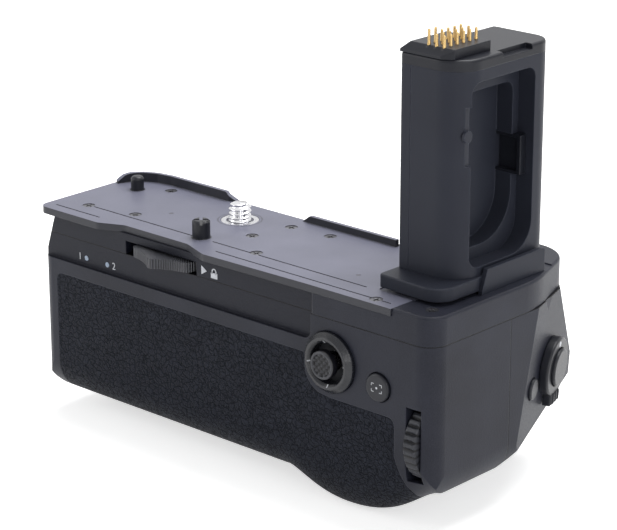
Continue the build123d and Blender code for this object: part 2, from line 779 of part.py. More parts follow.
with BuildPart() as deck_screws:
    for place in deck_screw_places:
        add(screw(place, -screw_sink, screw_length, -1))
deck_screws.part.label = "deck_screws"
export_step(deck_screws.part, "parts/deck_screws.step")

with BuildPart() as body_screws:
    for place in body_screw_places:
        add(screw(place, -screw_sink, body_screw_long, -1))
body_screws.part.label = "body_screws"
export_step(body_screws.part, "parts/body_screws.step")

with BuildPart() as base_screws:
    for place in base_screw_places:
        add(screw(place, base_screw_z, screw_length, 1))
base_screws.part.label = "base_screws"
export_step(base_screws.part, "parts/base_screws.step")

with BuildPart() as tower_screws:
    for place in tower_screw_places:
        add(screw(place, upper_room_top - screw_head_deep, tower_screw_long, 1))
tower_screws.part.label = "tower_screws"
export_step(tower_screws.part, "parts/tower_screws.step")

# Locating pins
with BuildPart() as locating_pin_left:
    add(post(pin_left_place, pin_left_radius, (0, pin_left_high)))
    fillet(locating_pin_left.faces().sort_by(Axis.Z)[-1].edges(), pin_left_dome)
    add(post(pin_left_place, pin_left_radius + pin_root, (-pin_seat, 0)))
locating_pin_left.part.label = "locating_pin_left"
export_step(locating_pin_left.part, "parts/locating_pin_left.step")

with BuildPart() as locating_pin_rear:
    add(post(pin_rear_place, pin_rear_radius, (0, pin_rear_high)))
    chamfer(locating_pin_rear.faces().sort_by(Axis.Z)[-1].edges(), pin_rear_bevel)
    add(post(pin_rear_place, pin_rear_radius + pin_root, (-pin_seat, 0)))
    for angle in (45, 135):
        with BuildSketch(Plane.XY.offset(pin_rear_high - pin_notch)):
            with Locations(Location((pin_rear_place[0], pin_rear_place[1], 0), (0, 0, angle))):
                Rectangle(pin_rear_radius * 3, pin_notch)
        extrude(amount=overrun, mode=Mode.SUBTRACT)
locating_pin_rear.part.label = "locating_pin_rear"
export_step(locating_pin_rear.part, "parts/locating_pin_rear.step")


def gear(place, teeth, z, first_angle):
    """Spur gear with straight flanks; one tooth points at first_angle."""
    pitch_radius = gear_module * teeth / 2
    step = 2 * math.pi / teeth
    points = []
    for tooth in range(teeth):
        middle = math.radians(first_angle) + tooth * step
        for share, radius in ((-tooth_root_share, pitch_radius - gear_module * dedendum),
                              (-tooth_tip_share, pitch_radius + gear_module * addendum),
                              (tooth_tip_share, pitch_radius + gear_module * addendum),
                              (tooth_root_share, pitch_radius - gear_module * dedendum)):
            points.append((place[0] + radius * math.cos(middle + share * step),
                           place[1] + radius * math.sin(middle + share * step)))
    return solid(shape(Plane.XY.offset(z[0]), points, (0,) * len(points)), z[1] - z[0])


mesh_angle = math.degrees(math.atan2(-wheel_place[1], -wheel_place[0]))
with BuildPart() as attachment_screw:
    add(post((0, 0), journal_radius, (gear_z[1], collar_high)))
    add(post((0, 0), shank_radius, (gear_z[0], gear_z[1])))
    add(post((0, 0), pivot_radius, (seam_z - pivot_deep + run_gap, gear_z[0])))
    add(post((0, 0), stud_radius, (collar_high, stud_high)))
    chamfer(attachment_screw.faces().sort_by(Axis.Z)[-1].edges(), stud_lead)
attachment_screw.part.label = "attachment_screw"
export_step(attachment_screw.part, "parts/attachment_screw.step")

with BuildPart() as screw_gear:
    half_tooth = math.degrees(math.pi) / screw_teeth
    add(gear((0, 0), screw_teeth, gear_z, mesh_angle + math.degrees(math.pi) + half_tooth))
    add(post((0, 0), shank_radius, (gear_z[0] - overrun, overrun)), mode=Mode.SUBTRACT)
screw_gear.part.label = "screw_gear"
export_step(screw_gear.part, "parts/screw_gear.step")

with BuildPart() as screw_washer:
    add(post((0, 0), ring_radius, ring_z))
    add(post((0, 0), stud_hole_radius, (-overrun, overrun)), mode=Mode.SUBTRACT)
screw_washer.part.label = "screw_washer"
export_step(screw_washer.part, "parts/screw_washer.step")

with BuildPart() as lock_wheel:
    add(post(wheel_place, wheel_tip_radius, wheel_z))
    scallop_away = wheel_tip_radius - scallop_depth + scallop_radius
    with BuildSketch(Plane.XY.offset(wheel_z[0])):
        with Locations(wheel_place):
            with PolarLocations(scallop_away, scallops, start_angle=mesh_start):
                Circle(scallop_radius)
    extrude(amount=wheel_z[1] - wheel_z[0], mode=Mode.SUBTRACT)
    add(gear(wheel_place, wheel_teeth, (wheel_z[1], gear_z[1]), mesh_angle))
    add(post(wheel_place, axle_radius + run_gap, (wheel_z[0] - overrun, overrun)), mode=Mode.SUBTRACT)
lock_wheel.part.label = "lock_wheel"
export_step(lock_wheel.part, "parts/lock_wheel.step")

with BuildPart() as wheel_axle:
    add(post(wheel_place, axle_radius, (seam_z - pivot_deep, -plate_thick)))
    add(post(wheel_place, axle_foot_radius, (seam_z, seam_z + axle_foot)))
wheel_axle.part.label = "wheel_axle"
export_step(wheel_axle.part, "parts/wheel_axle.step")


# Contact tower
with BuildPart() as tower_flange:
    rim = ((flange_x[0], flange_y[0]), (flange_x[1] - flange_skew, flange_y[0] - flange_skew),
           (flange_x[1], flange_y[1]), (flange_x[0], flange_y[1]))
    extrude(shape(Plane.XY.offset(flange_z[0]), rim, (tower_tight_round, flange_round,
                                                      flange_front_round, tower_tight_round)),
            amount=flange_z[1] - flange_z[0])
    fillet(tower_flange.faces().sort_by(Axis.Z)[-1].edges(), cap_round / 2)
    add(box((foot_x[0], foot_x[1] + overrun), (foot_y[0], flange_y[1] + overrun), (0, flange_z[1])),
        mode=Mode.SUBTRACT)
    add(box(wire_x, wire_y, (0, flange_z[1])), mode=Mode.SUBTRACT)
    for place in tower_screw_places:
        add(post(place, screw_shank_radius, (0, upper_room_top + tower_screw_long)), mode=Mode.SUBTRACT)
tower_flange.part.label = "tower_flange"
export_step(tower_flange.part, "parts/tower_flange.step")

with BuildPart() as tower_foot:
    extrude(shape(Plane.YZ.offset(foot_x[0]), ((foot_y[0], -flange_seat), (foot_y[1], -flange_seat),
                                               (foot_y[1], foot_high),
                                               (foot_y[0] + foot_round, foot_high), (foot_y[0], flange_z[0])),
                  (0, 0, foot_round / 2, 0, 0)), amount=foot_x[1] - foot_x[0])
tower_foot.part.label = "tower_foot"
export_step(tower_foot.part, "parts/tower_foot.step")

with BuildPart() as tower_gasket:
    extrude(panel(Plane.XY.offset(-flange_seat), (flange_x[0] + gasket_inset, foot_x[0] - gasket_inset),
                  (flange_y[0] + gasket_inset, flange_y[1] - gasket_inset), flange_round),
            amount=flange_seat + flange_z[0])
    add(box(wire_x, wire_y, (-overrun, flange_z[1])), mode=Mode.SUBTRACT)
    for place in tower_screw_places:
        add(post(place, screw_shank_radius, (-overrun, flange_z[1])), mode=Mode.SUBTRACT)
tower_gasket.part.label = "tower_gasket"
export_step(tower_gasket.part, "parts/tower_gasket.step")

tower_points = ((tower_x[0], tower_y[0]), (tower_x[1], tower_y[0]), (tower_x[1], tower_y[1]),
                (tower_x[0], tower_y[1]))
tower_rounds = (tower_tight_round, tower_round, tower_front_round, tower_tight_round)
recess_corners = ((recess_y[0], recess_z[0]), (recess_y[1], recess_z[0]), (recess_y[1], recess_z[1]),
                  (recess_y[0], recess_z[1]))
recess_rounds = (recess_round_top, recess_round_low, recess_round_top, recess_round_top)
with BuildPart() as tower_blank:
    extrude(shape(Plane.XY.offset(flange_z[1]), tower_points, tower_rounds),
            amount=tower_top_z - flange_z[1])
    extrude(shape(Plane.YZ.offset(liner_x), recess_corners, recess_rounds), amount=cutter_size,
            mode=Mode.SUBTRACT)
    add(box((tower_x[0] + tower_wall, liner_x - tower_wall),
            (tower_y[0] + tower_wall, tower_y[1] - tower_wall), (0, tower_top_z)), mode=Mode.SUBTRACT)
    add(box((corner_recess_x, tower_x[1] + overrun), corner_recess_y, corner_recess_z), mode=Mode.SUBTRACT)
    add(side_post(boss_place, boss_radius, (corner_recess_x, corner_recess_x + boss_high)))

with BuildPart() as tower_shell:
    add(tower_blank.part)
    add(box((tower_seam_x, tower_x[1] + overrun), tower_y, (flange_z[1], tower_top_z)), mode=Mode.INTERSECT)
tower_shell.part.label = "tower_shell"
export_step(tower_shell.part, "parts/tower_shell.step")

with BuildPart() as tower_cover:
    add(tower_blank.part)
    add(box((tower_x[0], tower_seam_x - seat_gap), tower_y, (flange_z[1], tower_top_z)), mode=Mode.INTERSECT)
tower_cover.part.label = "tower_cover"
export_step(tower_cover.part, "parts/tower_cover.step")

with BuildPart() as tower_liner:
    extrude(shape(Plane.YZ.offset(liner_x), recess_corners, recess_rounds), amount=ledge_x - liner_x)
    inner_corners = ((inner_y[0], inner_z[0]), (inner_y[1], inner_z[0]), (inner_y[1], inner_z[1]),
                     (inner_y[0], inner_z[1]))
    extrude(shape(Plane.YZ.offset(recess_back_x), inner_corners,
                  (inner_round, inner_round_low, inner_round, inner_round)),
            amount=cutter_size, mode=Mode.SUBTRACT)
    add(box((recess_back_x, ledge_x + overrun), snap_y, snap_z), mode=Mode.SUBTRACT)
tower_liner.part.label = "tower_liner"
export_step(tower_liner.part, "parts/tower_liner.step")

with BuildPart() as cover_snap:
    add(box((recess_back_x, snap_plate_x[1]), (snap_plate_y, snap_y[1]), snap_z))
    add(box((recess_back_x, snap_plate_x[0]), (snap_plate_y, snap_y[1] - snap_wall),
            (snap_z[0] + snap_wall, snap_z[1] - snap_wall)), mode=Mode.SUBTRACT)
cover_snap.part.label = "cover_snap"
export_step(cover_snap.part, "parts/cover_snap.step")

contact_places = tuple((contact_first[0] + contact_pitch * column, contact_first[1] + contact_pitch * row)
                       for column in range(pin_columns) for row in range(pin_rows))
cap_top_z = tower_top_z + cap_thick
barrel_z = (cap_top_z + block_high - barrel_top_gap - barrel_long, cap_top_z + block_high - barrel_top_gap)
with BuildPart() as tower_cap:
    extrude(shape(Plane.XY.offset(tower_top_z), tower_points, tower_rounds), amount=cap_thick)
    fillet(tower_cap.faces().sort_by(Axis.Z)[-1].edges(), cap_round)
    add(box((tower_x[1] - rim_notch_in, tower_x[1] + overrun), rim_notch_y,
            (cap_top_z - rim_notch_deep, cap_top_z + overrun)), mode=Mode.SUBTRACT)
    for place in contact_places:
        add(post(place, barrel_radius, (tower_top_z, cap_top_z)), mode=Mode.SUBTRACT)
tower_cap.part.label = "tower_cap"
export_step(tower_cap.part, "parts/tower_cap.step")

with BuildPart() as contact_block:
    add(box(block_x, block_y, (cap_top_z, cap_top_z + block_high)))
    top_edges = contact_block.faces().sort_by(Axis.Z)[-1].edges()
    chamfer([top_edges.sort_by(Axis.X)[0], top_edges.sort_by(Axis.Y)[0]], block_bevel)
    corner = ((block_corner[0], block_y[0]), (block_x[1], block_corner[1]),
              (block_x[1] + overrun, block_corner[1]), (block_x[1] + overrun, block_y[0] - overrun),
              (block_corner[0], block_y[0] - overrun))
    extrude(shape(Plane.XY.offset(cap_top_z), corner, (0,) * len(corner)), amount=block_high,
            mode=Mode.SUBTRACT)
    rib_step = (block_y[1] - block_y[0] - block_bevel - rib_wide) / rib_count
    for rib in range(rib_count):
        rib_y = block_y[0] + block_bevel + rib_step * (rib + 1 / 2)
        add(box((block_x[0] - overrun, block_x[0] + rib_long), (rib_y, rib_y + rib_wide),
                (cap_top_z + block_high - block_bevel + rib_deep, cap_top_z + block_high)),
            mode=Mode.SUBTRACT)
    for place in contact_places:
        add(post(place, barrel_radius, (cap_top_z, barrel_z[1])), mode=Mode.SUBTRACT)
        add(post(place, contact_radius + run_gap, (cap_top_z, cap_top_z + block_high)), mode=Mode.SUBTRACT)
contact_block.part.label = "contact_block"
export_step(contact_block.part, "parts/contact_block.step")

with BuildPart() as contact_barrels:
    for place in contact_places:
        add(post(place, barrel_radius, barrel_z))
        add(post(place, contact_radius + run_gap, (barrel_z[0] + tower_wall / 2, barrel_z[1])),
            mode=Mode.SUBTRACT)
contact_barrels.part.label = "contact_barrels"
export_step(contact_barrels.part, "parts/contact_barrels.step")

with BuildPart() as contact_pins:
    for order, place in enumerate(contact_places):
        tall = contact_tall if order < 2 else 0
        top = cap_top_z + block_high + contact_high + tall
        add(post(place, contact_radius, (barrel_z[0] + tower_wall / 2 + contact_travel + seat_gap, top)))
contact_pins.part.label = "contact_pins"
export_step(contact_pins.part, "parts/contact_pins.step")

with BuildPart() as tower_board:
    add(box((tower_board_x, tower_board_x + board_thick), tower_board_y,
            (upper_room_top - wire_drop, tower_top_z)))
    add(box((tower_board_x, liner_x - tower_wall - seat_gap), (block_y[0] + tower_wall, block_y[1]),
            (tower_top_z - board_thick, tower_top_z)))
tower_board.part.label = "tower_board"
export_step(tower_board.part, "parts/tower_board.step")

# Joystick
stick_x, stick_z = stick_place
ring_y = (rear_y + overrun / 2, rear_y - stick_ring_high)
with BuildPart() as stick_ring:
    add(rear_post(stick_place, stick_ring_radius, ring_y))
    chamfer(stick_ring.faces().sort_by(Axis.Y)[0].edges(), stick_ring_radius - stick_front_radius)
    add(rear_post(stick_place, stick_hole_radius, (ring_y[0] + overrun, ring_y[1] - overrun)),
        mode=Mode.SUBTRACT)
    chamfer(stick_ring.faces().sort_by(Axis.Y)[0].edges().sort_by(Edge.length)[0], ring_bevel)
stick_ring.part.label = "stick_ring"
export_step(stick_ring.part, "parts/stick_ring.step")

boot_y = rear_y + overrun / 2 + stick_boot_thick
with BuildPart() as stick_boot:
    add(rear_post(stick_place, stick_well - seat_gap, (boot_y, boot_y - stick_boot_thick)))
    add(rear_post(stick_place, stick_boot_hole, (boot_y + overrun, rear_y)), mode=Mode.SUBTRACT)
stick_boot.part.label = "stick_boot"
export_step(stick_boot.part, "parts/stick_boot.step")

with BuildPart() as stick_socket:
    add(rear_post(stick_place, stick_well - seat_gap, (stick_socket_y[0], stick_socket_y[1])))
    add(rear_post(stick_place, stick_frame_radius[1] + clear_gap * 2,
                  (stick_socket_y[0] - board_thick, rear_y)), mode=Mode.SUBTRACT)
    add(side_post((stick_pivot_y, stick_z), axle_pin_radius + run_gap,
                  (stick_x - stick_well, stick_x + stick_well)), mode=Mode.SUBTRACT)
stick_socket.part.label = "stick_socket"
export_step(stick_socket.part, "parts/stick_socket.step")

with BuildPart() as stick_frame:
    frame_y = (stick_pivot_y + stick_frame_thick / 2, stick_pivot_y - stick_frame_thick / 2)
    add(rear_post(stick_place, stick_frame_radius[1], frame_y))
    add(rear_post(stick_place, stick_frame_radius[0], (frame_y[0] + overrun, frame_y[1] - overrun)),
        mode=Mode.SUBTRACT)
    trunnion_out = stick_well - seat_gap * 4
    trunnion_in = (stick_frame_radius[0] + stick_frame_radius[1]) / 2
    for side in (-1, 1):
        ends_x = sorted((stick_x + side * trunnion_in, stick_x + side * trunnion_out))
        add(side_post((stick_pivot_y, stick_z), axle_pin_radius, ends_x))
    add(post((stick_x, stick_pivot_y), axle_pin_radius + run_gap,
             (stick_z - stick_well, stick_z + stick_well)), mode=Mode.SUBTRACT)
stick_frame.part.label = "stick_frame"
export_step(stick_frame.part, "parts/stick_frame.step")

with BuildPart() as stick_stem:
    add(post((stick_x, stick_pivot_y), axle_pin_radius,
             (stick_z - stick_frame_radius[1] + seat_gap * 2, stick_z + stick_frame_radius[1] - seat_gap * 2)))
    add(rear_post(stick_place, stick_ball_radius, frame_y))
    cap_back = rear_y - stick_cap_proud + stick_cap_thick
    add(rear_post(stick_place, stick_stem_radius, (stick_pivot_y, cap_back - stick_press)))
stick_stem.part.label = "stick_stem"
export_step(stick_stem.part, "parts/stick_stem.step")

with BuildPart() as stick_cap:
    add(rear_post(stick_place, stick_cap_radius, (cap_back, rear_y - stick_cap_proud)))
    chamfer(stick_cap.faces().sort_by(Axis.Y)[0].edges(), stick_cap_lip)
    add(rear_post(stick_place, stick_stem_radius * 3 / 2, (cap_back + stick_sleeve, cap_back)))
    add(rear_post(stick_place, stick_stem_radius + run_gap,
                  (cap_back + stick_sleeve, cap_back - stick_press * 2)), mode=Mode.SUBTRACT)
stick_cap.part.label = "stick_cap"
export_step(stick_cap.part, "parts/stick_cap.step")

# Focus button, thumb switch under it
focus_x, focus_z = focus_place
focus_front = rear_y - focus_proud
with BuildPart() as focus_button:
    add(rear_post(focus_place, focus_radius, (focus_front + focus_long, focus_front)))
    fillet(focus_button.faces().sort_by(Axis.Y)[0].edges(), button_round)
    add(rear_post(focus_place, focus_radius + button_rim, (focus_front + focus_long,
                                                          focus_front + focus_long - button_rim_thick)))
focus_button.part.label = "focus_button"
export_step(focus_button.part, "parts/focus_button.step")

with BuildPart() as thumb_board:
    add(box((stick_x - thumb_reach, focus_x + thumb_reach),
            (thumb_board_y, thumb_board_y + board_thick), (focus_z - thumb_reach, stick_z + thumb_reach)))
    add(rear_post(stick_place, stick_well - seat_gap, (thumb_board_y + overrun, thumb_board_y - overrun)),
        mode=Mode.SUBTRACT)
    add(rear_post(stick_place, stick_well, (thumb_board_y + board_thick, thumb_board_y)))
    add(rear_post(focus_place, thumb_switch_radius, (thumb_board_y, focus_front + focus_long + thumb_switch_gap)))
thumb_board.part.label = "thumb_board"
export_step(thumb_board.part, "parts/thumb_board.step")

# Rear dial and front dial, each with its axle
with BuildPart() as rear_dial:
    add(side_post((dial_y, dial_z), dial_radius, dial_x))
    chamfer(rear_dial.edges().filter_by(GeomType.CIRCLE), dial_tooth)
    with BuildSketch(Plane.YZ.offset(dial_x[0])):
        with Locations((dial_y, dial_z)):
            with PolarLocations(dial_radius, dial_teeth):
                Rectangle(dial_tooth * 2, dial_tooth * 2, rotation=45)
    extrude(amount=dial_x[1] - dial_x[0], mode=Mode.SUBTRACT)
    add(side_post((dial_y, dial_z), dial_axle_radius + run_gap, dial_slot_x), mode=Mode.SUBTRACT)
rear_dial.part.label = "rear_dial"
export_step(rear_dial.part, "parts/rear_dial.step")

with BuildPart() as rear_dial_axle:
    add(side_post((dial_y, dial_z), dial_axle_radius, dial_axle_x))
rear_dial_axle.part.label = "rear_dial_axle"
export_step(rear_dial_axle.part, "parts/rear_dial_axle.step")

front_x, front_z = front_dial_place
front_axle_y = hand_y + front_dial_proud - front_dial_radius
with BuildPart() as front_dial:
    wide = (front_x - front_dial_wide / 2, front_x + front_dial_wide / 2)
    add(side_post((front_axle_y, front_z), front_dial_radius, wide))
    chamfer(front_dial.edges().filter_by(GeomType.CIRCLE), dial_tooth)
    with BuildSketch(Plane.YZ.offset(wide[0])):
        with Locations((front_axle_y, front_z)):
            with PolarLocations(front_dial_radius, front_dial_teeth):
                Rectangle(dial_tooth * 2, dial_tooth * 2, rotation=45)
    extrude(amount=front_dial_wide, mode=Mode.SUBTRACT)
    add(side_post((front_axle_y, front_z), dial_axle_radius + run_gap,
                  (wide[0] - overrun, wide[1] + overrun)), mode=Mode.SUBTRACT)
front_dial.part.label = "front_dial"
export_step(front_dial.part, "parts/front_dial.step")

with BuildPart() as front_dial_axle:
    add(side_post((front_axle_y, front_z), dial_axle_radius,
                  (front_x - front_dial_wide, front_x + front_dial_wide)))
front_dial_axle.part.label = "front_dial_axle"
export_step(front_dial_axle.part, "parts/front_dial_axle.step")

with BuildPart() as charge_lights:
    for place in led_places:
        add(rear_post(place, led_radius, (bay_rear_y - top_round, panel_y - led_proud)))
charge_lights.part.label = "charge_lights"
export_step(charge_lights.part, "parts/charge_lights.step")

# Shutter button inside its lever, and the function button
shutter_at = (shutter_along, shutter_rise)
with BuildPart() as shutter_lever:
    lever_face = shoulder.offset(lever_gap)
    with BuildSketch(lever_face):
        with Locations(shutter_at):
            Circle(lever_radius)
        with Locations((shutter_at[0], shutter_at[1] - lever_tab[1] / 2)):
            Rectangle(lever_tab[0], lever_tab[1])
    extrude(amount=lever_thick)
    fillet(shutter_lever.faces().sort_by(Axis(shoulder.origin, shoulder.z_dir))[-1].edges(), lever_round)
    extrude(disc(shoulder.offset(-lever_hub_deep / 2), shutter_at, lever_hub_radius),
            amount=lever_hub_deep / 2 + lever_gap)
    extrude(disc(shoulder.offset(-lever_hub_deep), shutter_at, shutter_radius + button_fit),
            amount=cutter_size, mode=Mode.SUBTRACT)
shutter_lever.part.label = "shutter_lever"
export_step(shutter_lever.part, "parts/shutter_lever.step")

with BuildPart() as shutter_button:
    rim_low = -lever_hub_deep / 2 - clear_gap - button_rim_thick
    extrude(disc(shoulder.offset(rim_low), shutter_at, shutter_radius), amount=shutter_proud - rim_low)
    fillet(shutter_button.faces().sort_by(Axis(shoulder.origin, shoulder.z_dir))[-1].edges(), button_round)
    extrude(disc(shoulder.offset(rim_low), shutter_at, lever_hub_radius - clear_gap),
            amount=button_rim_thick)
    extrude(disc(shoulder.offset(rim_low - shutter_stem), shutter_at, shutter_stem_radius),
            amount=shutter_stem)
shutter_button.part.label = "shutter_button"
export_step(shutter_button.part, "parts/shutter_button.step")

with BuildPart() as function_button:
    extrude(disc(shoulder.offset(-function_long), (function_along, function_rise), function_radius),
            amount=function_long + function_proud)
    fillet(function_button.faces().sort_by(Axis(shoulder.origin, shoulder.z_dir))[-1].edges(), button_round)
function_button.part.label = "function_button"
export_step(function_button.part, "parts/function_button.step")

with BuildPart() as shutter_board:
    deep = rim_low - shutter_stem - shutter_travel - switch_high
    with BuildSketch(shoulder.offset(deep - board_thick)):
        with Locations(shutter_at):
            Rectangle(*shutter_board_size)
    extrude(amount=board_thick)
    extrude(disc(shoulder.offset(deep), shutter_at, switch_radius), amount=switch_high - seat_gap)
shutter_board.part.label = "shutter_board"
export_step(shutter_board.part, "parts/shutter_board.step")

# Main board under the deck
with BuildPart() as main_board:
    add(box(main_board_x, main_board_y, (main_board_z, main_board_z + board_thick)))
    for x, y, wide, deep, high in board_chips:
        add(box((x, x + wide), (y, y + deep), (main_board_z + board_thick, main_board_z + board_thick + high)))
main_board.part.label = "main_board"
export_step(main_board.part, "parts/main_board.step")

with BuildPart() as board_posts:
    for x in (main_board_x[0] + board_post_inset, main_board_x[1] - board_post_inset):
        for y in (main_board_y[0] + board_post_inset, main_board_y[1] - board_post_inset):
            add(post((x, y), board_post_radius, (room_low_z, main_board_z)))
board_posts.part.label = "board_posts"
export_step(board_posts.part, "parts/board_posts.step")

# Base plate, its rubber sole and the tripod socket
with BuildPart() as base_plate:
    extrude(panel(Plane.XY.offset(pad_low_z + pad_sole), pad_x, pad_y, pad_round),
            amount=base_z - pad_low_z - pad_sole)
    add(post((0, socket_y), socket_radius, (pad_low_z, base_z)), mode=Mode.SUBTRACT)
    add(post((0, socket_y), socket_collar, (base_z - socket_collar_thick, base_z)), mode=Mode.SUBTRACT)
    for place in base_screw_places:
        add(post(place, screw_shank_radius, (pad_low_z, base_z)), mode=Mode.SUBTRACT)
        add(post(place, screw_head_radius, (pad_low_z, base_screw_z + screw_head_deep)), mode=Mode.SUBTRACT)
base_plate.part.label = "base_plate"
export_step(base_plate.part, "parts/base_plate.step")

with BuildPart() as base_sole:
    extrude(panel(Plane.XY.offset(pad_low_z), pad_x, pad_y, pad_round), amount=pad_sole)
    add(post((0, socket_y), socket_radius, (pad_low_z - overrun, base_z)), mode=Mode.SUBTRACT)
    for place in base_screw_places:
        add(post(place, screw_head_radius, (pad_low_z - overrun, base_z)), mode=Mode.SUBTRACT)
base_sole.part.label = "base_sole"
export_step(base_sole.part, "parts/base_sole.step")

with BuildPart() as tripod_socket:
    add(post((0, socket_y), socket_radius, (pad_low_z, base_z)))
    add(post((0, socket_y), socket_collar, (base_z - socket_collar_thick, base_z)))
    add(post((0, socket_y), stud_radius, (pad_low_z - overrun, base_z + overrun)), mode=Mode.SUBTRACT)
tripod_socket.part.label = "tripod_socket"
export_step(tripod_socket.part, "parts/tripod_socket.step")

# Battery tray: an end block with the door in front, a middle spine and thin sheets above and below
tray_y = (bay_rear_y + tray_gap, bay_front_inner_y - tray_gap)
tray_z = (bay_low_z + tray_gap, bay_top_z - tray_gap)
with BuildPart() as battery_tray:
    extrude(panel(Plane.YZ.offset(tray_x[0]), tray_y, tray_z, bay_round - tray_gap),
            amount=tray_x[1] - tray_x[0])
    middle = (tray_y[0] + tray_y[1]) / 2
    for inner, outer in ((middle - tray_spine / 2, tray_y[0] - overrun),
                         (middle + tray_spine / 2, tray_y[1] + overrun)):
        add(box((tray_x[0] + tray_block, tray_x[1] - tray_end), sorted((inner, outer)),
                (tray_z[0] + tray_sheet, tray_z[1] - tray_sheet)), mode=Mode.SUBTRACT)
    add(side_post(latch_place, latch_room, (tray_x[0] - overrun, latch_x + latch_thick + clear_gap)),
        mode=Mode.SUBTRACT)
battery_tray.part.label = "battery_tray"
export_step(battery_tray.part, "parts/battery_tray.step")

with BuildPart() as tray_door:
    extrude(panel(Plane.YZ.offset(body_left - overrun), tray_y, tray_z, bay_round - tray_gap),
            amount=tray_x[0] - body_left + overrun)
    add(ends, mode=Mode.INTERSECT)
    add(side_post(latch_place, latch_radius + clear_gap, (body_left - overrun, latch_face_x)),
        mode=Mode.SUBTRACT)
    add(side_post(latch_place, latch_shaft_radius + run_gap, (body_left - overrun, tray_x[0] + overrun)),
        mode=Mode.SUBTRACT)
tray_door.part.label = "tray_door"
export_step(tray_door.part, "parts/tray_door.step")

with BuildPart() as tray_latch:
    add(side_post(latch_place, latch_radius, (latch_face_x - latch_recess, latch_face_x - seat_gap)))
    add(side_post(latch_place, latch_radius, (latch_face_x - latch_recess - overrun, latch_face_x - latch_cap)),
        mode=Mode.SUBTRACT)
    add(box((latch_face_x - latch_cap - latch_grip[1], latch_face_x - latch_cap),
            (latch_place[0] - latch_radius + latch_grip[1], latch_place[0] + latch_radius - latch_grip[1]),
            (latch_place[1] - latch_grip[0] / 2, latch_place[1] + latch_grip[0] / 2)))
    add(side_post(latch_place, latch_shaft_radius, (latch_face_x - seat_gap, latch_x + latch_thick)))
    add(box((latch_x, latch_x + latch_thick), (latch_place[0] - latch_reach, latch_place[0]),
            (latch_place[1] - latch_wide / 2, latch_place[1] + latch_wide / 2)))
tray_latch.part.label = "tray_latch"
export_step(tray_latch.part, "parts/tray_latch.step")

with BuildPart() as battery_contacts:
    thick, high, wide = battery_contact
    for side in (-1, 1):
        for order in range(battery_contact_count):
            y = middle + side * (battery_contact_first + order * battery_contact_pitch)
            add(box((tray_x[1] - tray_end - thick, tray_x[1] - tray_end), (y - wide / 2, y + wide / 2),
                    (battery_contact_z, battery_contact_z + high)))
battery_contacts.part.label = "battery_contacts"
export_step(battery_contacts.part, "parts/battery_contacts.step")
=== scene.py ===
# %% [markdown]
# # A camera battery grip in a white studio
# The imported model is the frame. This scene gives each piece its surface, adds the small shapes that the
# solids leave out, and sets up the camera and the light of a catalogue photograph. Blender counts in
# metres. Shapes here are worked out in millimetres, which are easier to read on a part of this size, and
# become metres where they go into a mesh or a node. Each piece stays where the solids place it.

# %% Load the frame
import json
import math
import bpy
import numpy as np
from mathutils import Matrix, Vector
from mathutils.bvhtree import BVHTree


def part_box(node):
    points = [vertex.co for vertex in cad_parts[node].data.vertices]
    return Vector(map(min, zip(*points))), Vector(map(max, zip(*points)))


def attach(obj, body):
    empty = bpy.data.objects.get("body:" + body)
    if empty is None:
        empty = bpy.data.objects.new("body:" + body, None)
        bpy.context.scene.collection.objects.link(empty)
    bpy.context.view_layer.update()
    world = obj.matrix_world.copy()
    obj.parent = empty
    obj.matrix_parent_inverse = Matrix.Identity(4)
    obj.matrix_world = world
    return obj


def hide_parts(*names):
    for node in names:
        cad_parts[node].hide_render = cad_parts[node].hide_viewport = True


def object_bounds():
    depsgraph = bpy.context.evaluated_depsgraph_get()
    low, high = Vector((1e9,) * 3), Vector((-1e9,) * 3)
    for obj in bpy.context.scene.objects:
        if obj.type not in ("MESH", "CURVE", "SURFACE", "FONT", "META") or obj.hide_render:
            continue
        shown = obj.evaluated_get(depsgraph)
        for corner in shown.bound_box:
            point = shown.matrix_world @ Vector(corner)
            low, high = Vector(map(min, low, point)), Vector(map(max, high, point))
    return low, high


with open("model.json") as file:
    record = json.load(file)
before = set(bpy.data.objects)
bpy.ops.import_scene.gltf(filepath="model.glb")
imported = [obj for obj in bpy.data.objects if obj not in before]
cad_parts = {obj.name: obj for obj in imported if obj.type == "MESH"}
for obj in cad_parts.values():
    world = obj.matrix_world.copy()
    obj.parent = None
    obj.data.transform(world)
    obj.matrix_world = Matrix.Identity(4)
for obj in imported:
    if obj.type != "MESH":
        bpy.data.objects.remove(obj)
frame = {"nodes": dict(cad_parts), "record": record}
solid_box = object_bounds()
nodes = frame["nodes"]
MM = 0.001
scene = bpy.context.scene
scene.view_settings.view_transform = "Standard"

# %% [markdown]
# ## Camera
# The photograph was taken from the rear right, a little above the deck. A camera could be pushed about by
# eye until the edges meet. Here its place follows from numbers that can be corrected one at a time: two
# angles, the distance to the attachment screw, and the pixel where that screw stands.

# %% Camera
AZIMUTH, ELEVATION = math.radians(42.3), math.radians(18.8)
DISTANCE = 0.697
FOCAL_PIXELS = 2497
WIDTH, HEIGHT = 617, 530
SCREW_PIXEL = (240.0, 219.5)
SENSOR_WIDTH = 36
NEAREST_SEEN = 0.05


def standing(across, upward, back, place):
    """The matrix of an object with these x, y and z axes and this origin."""
    matrix = np.eye(4)
    matrix[:3] = np.stack([across, upward, back, place], axis=1)
    return Matrix(matrix.tolist())


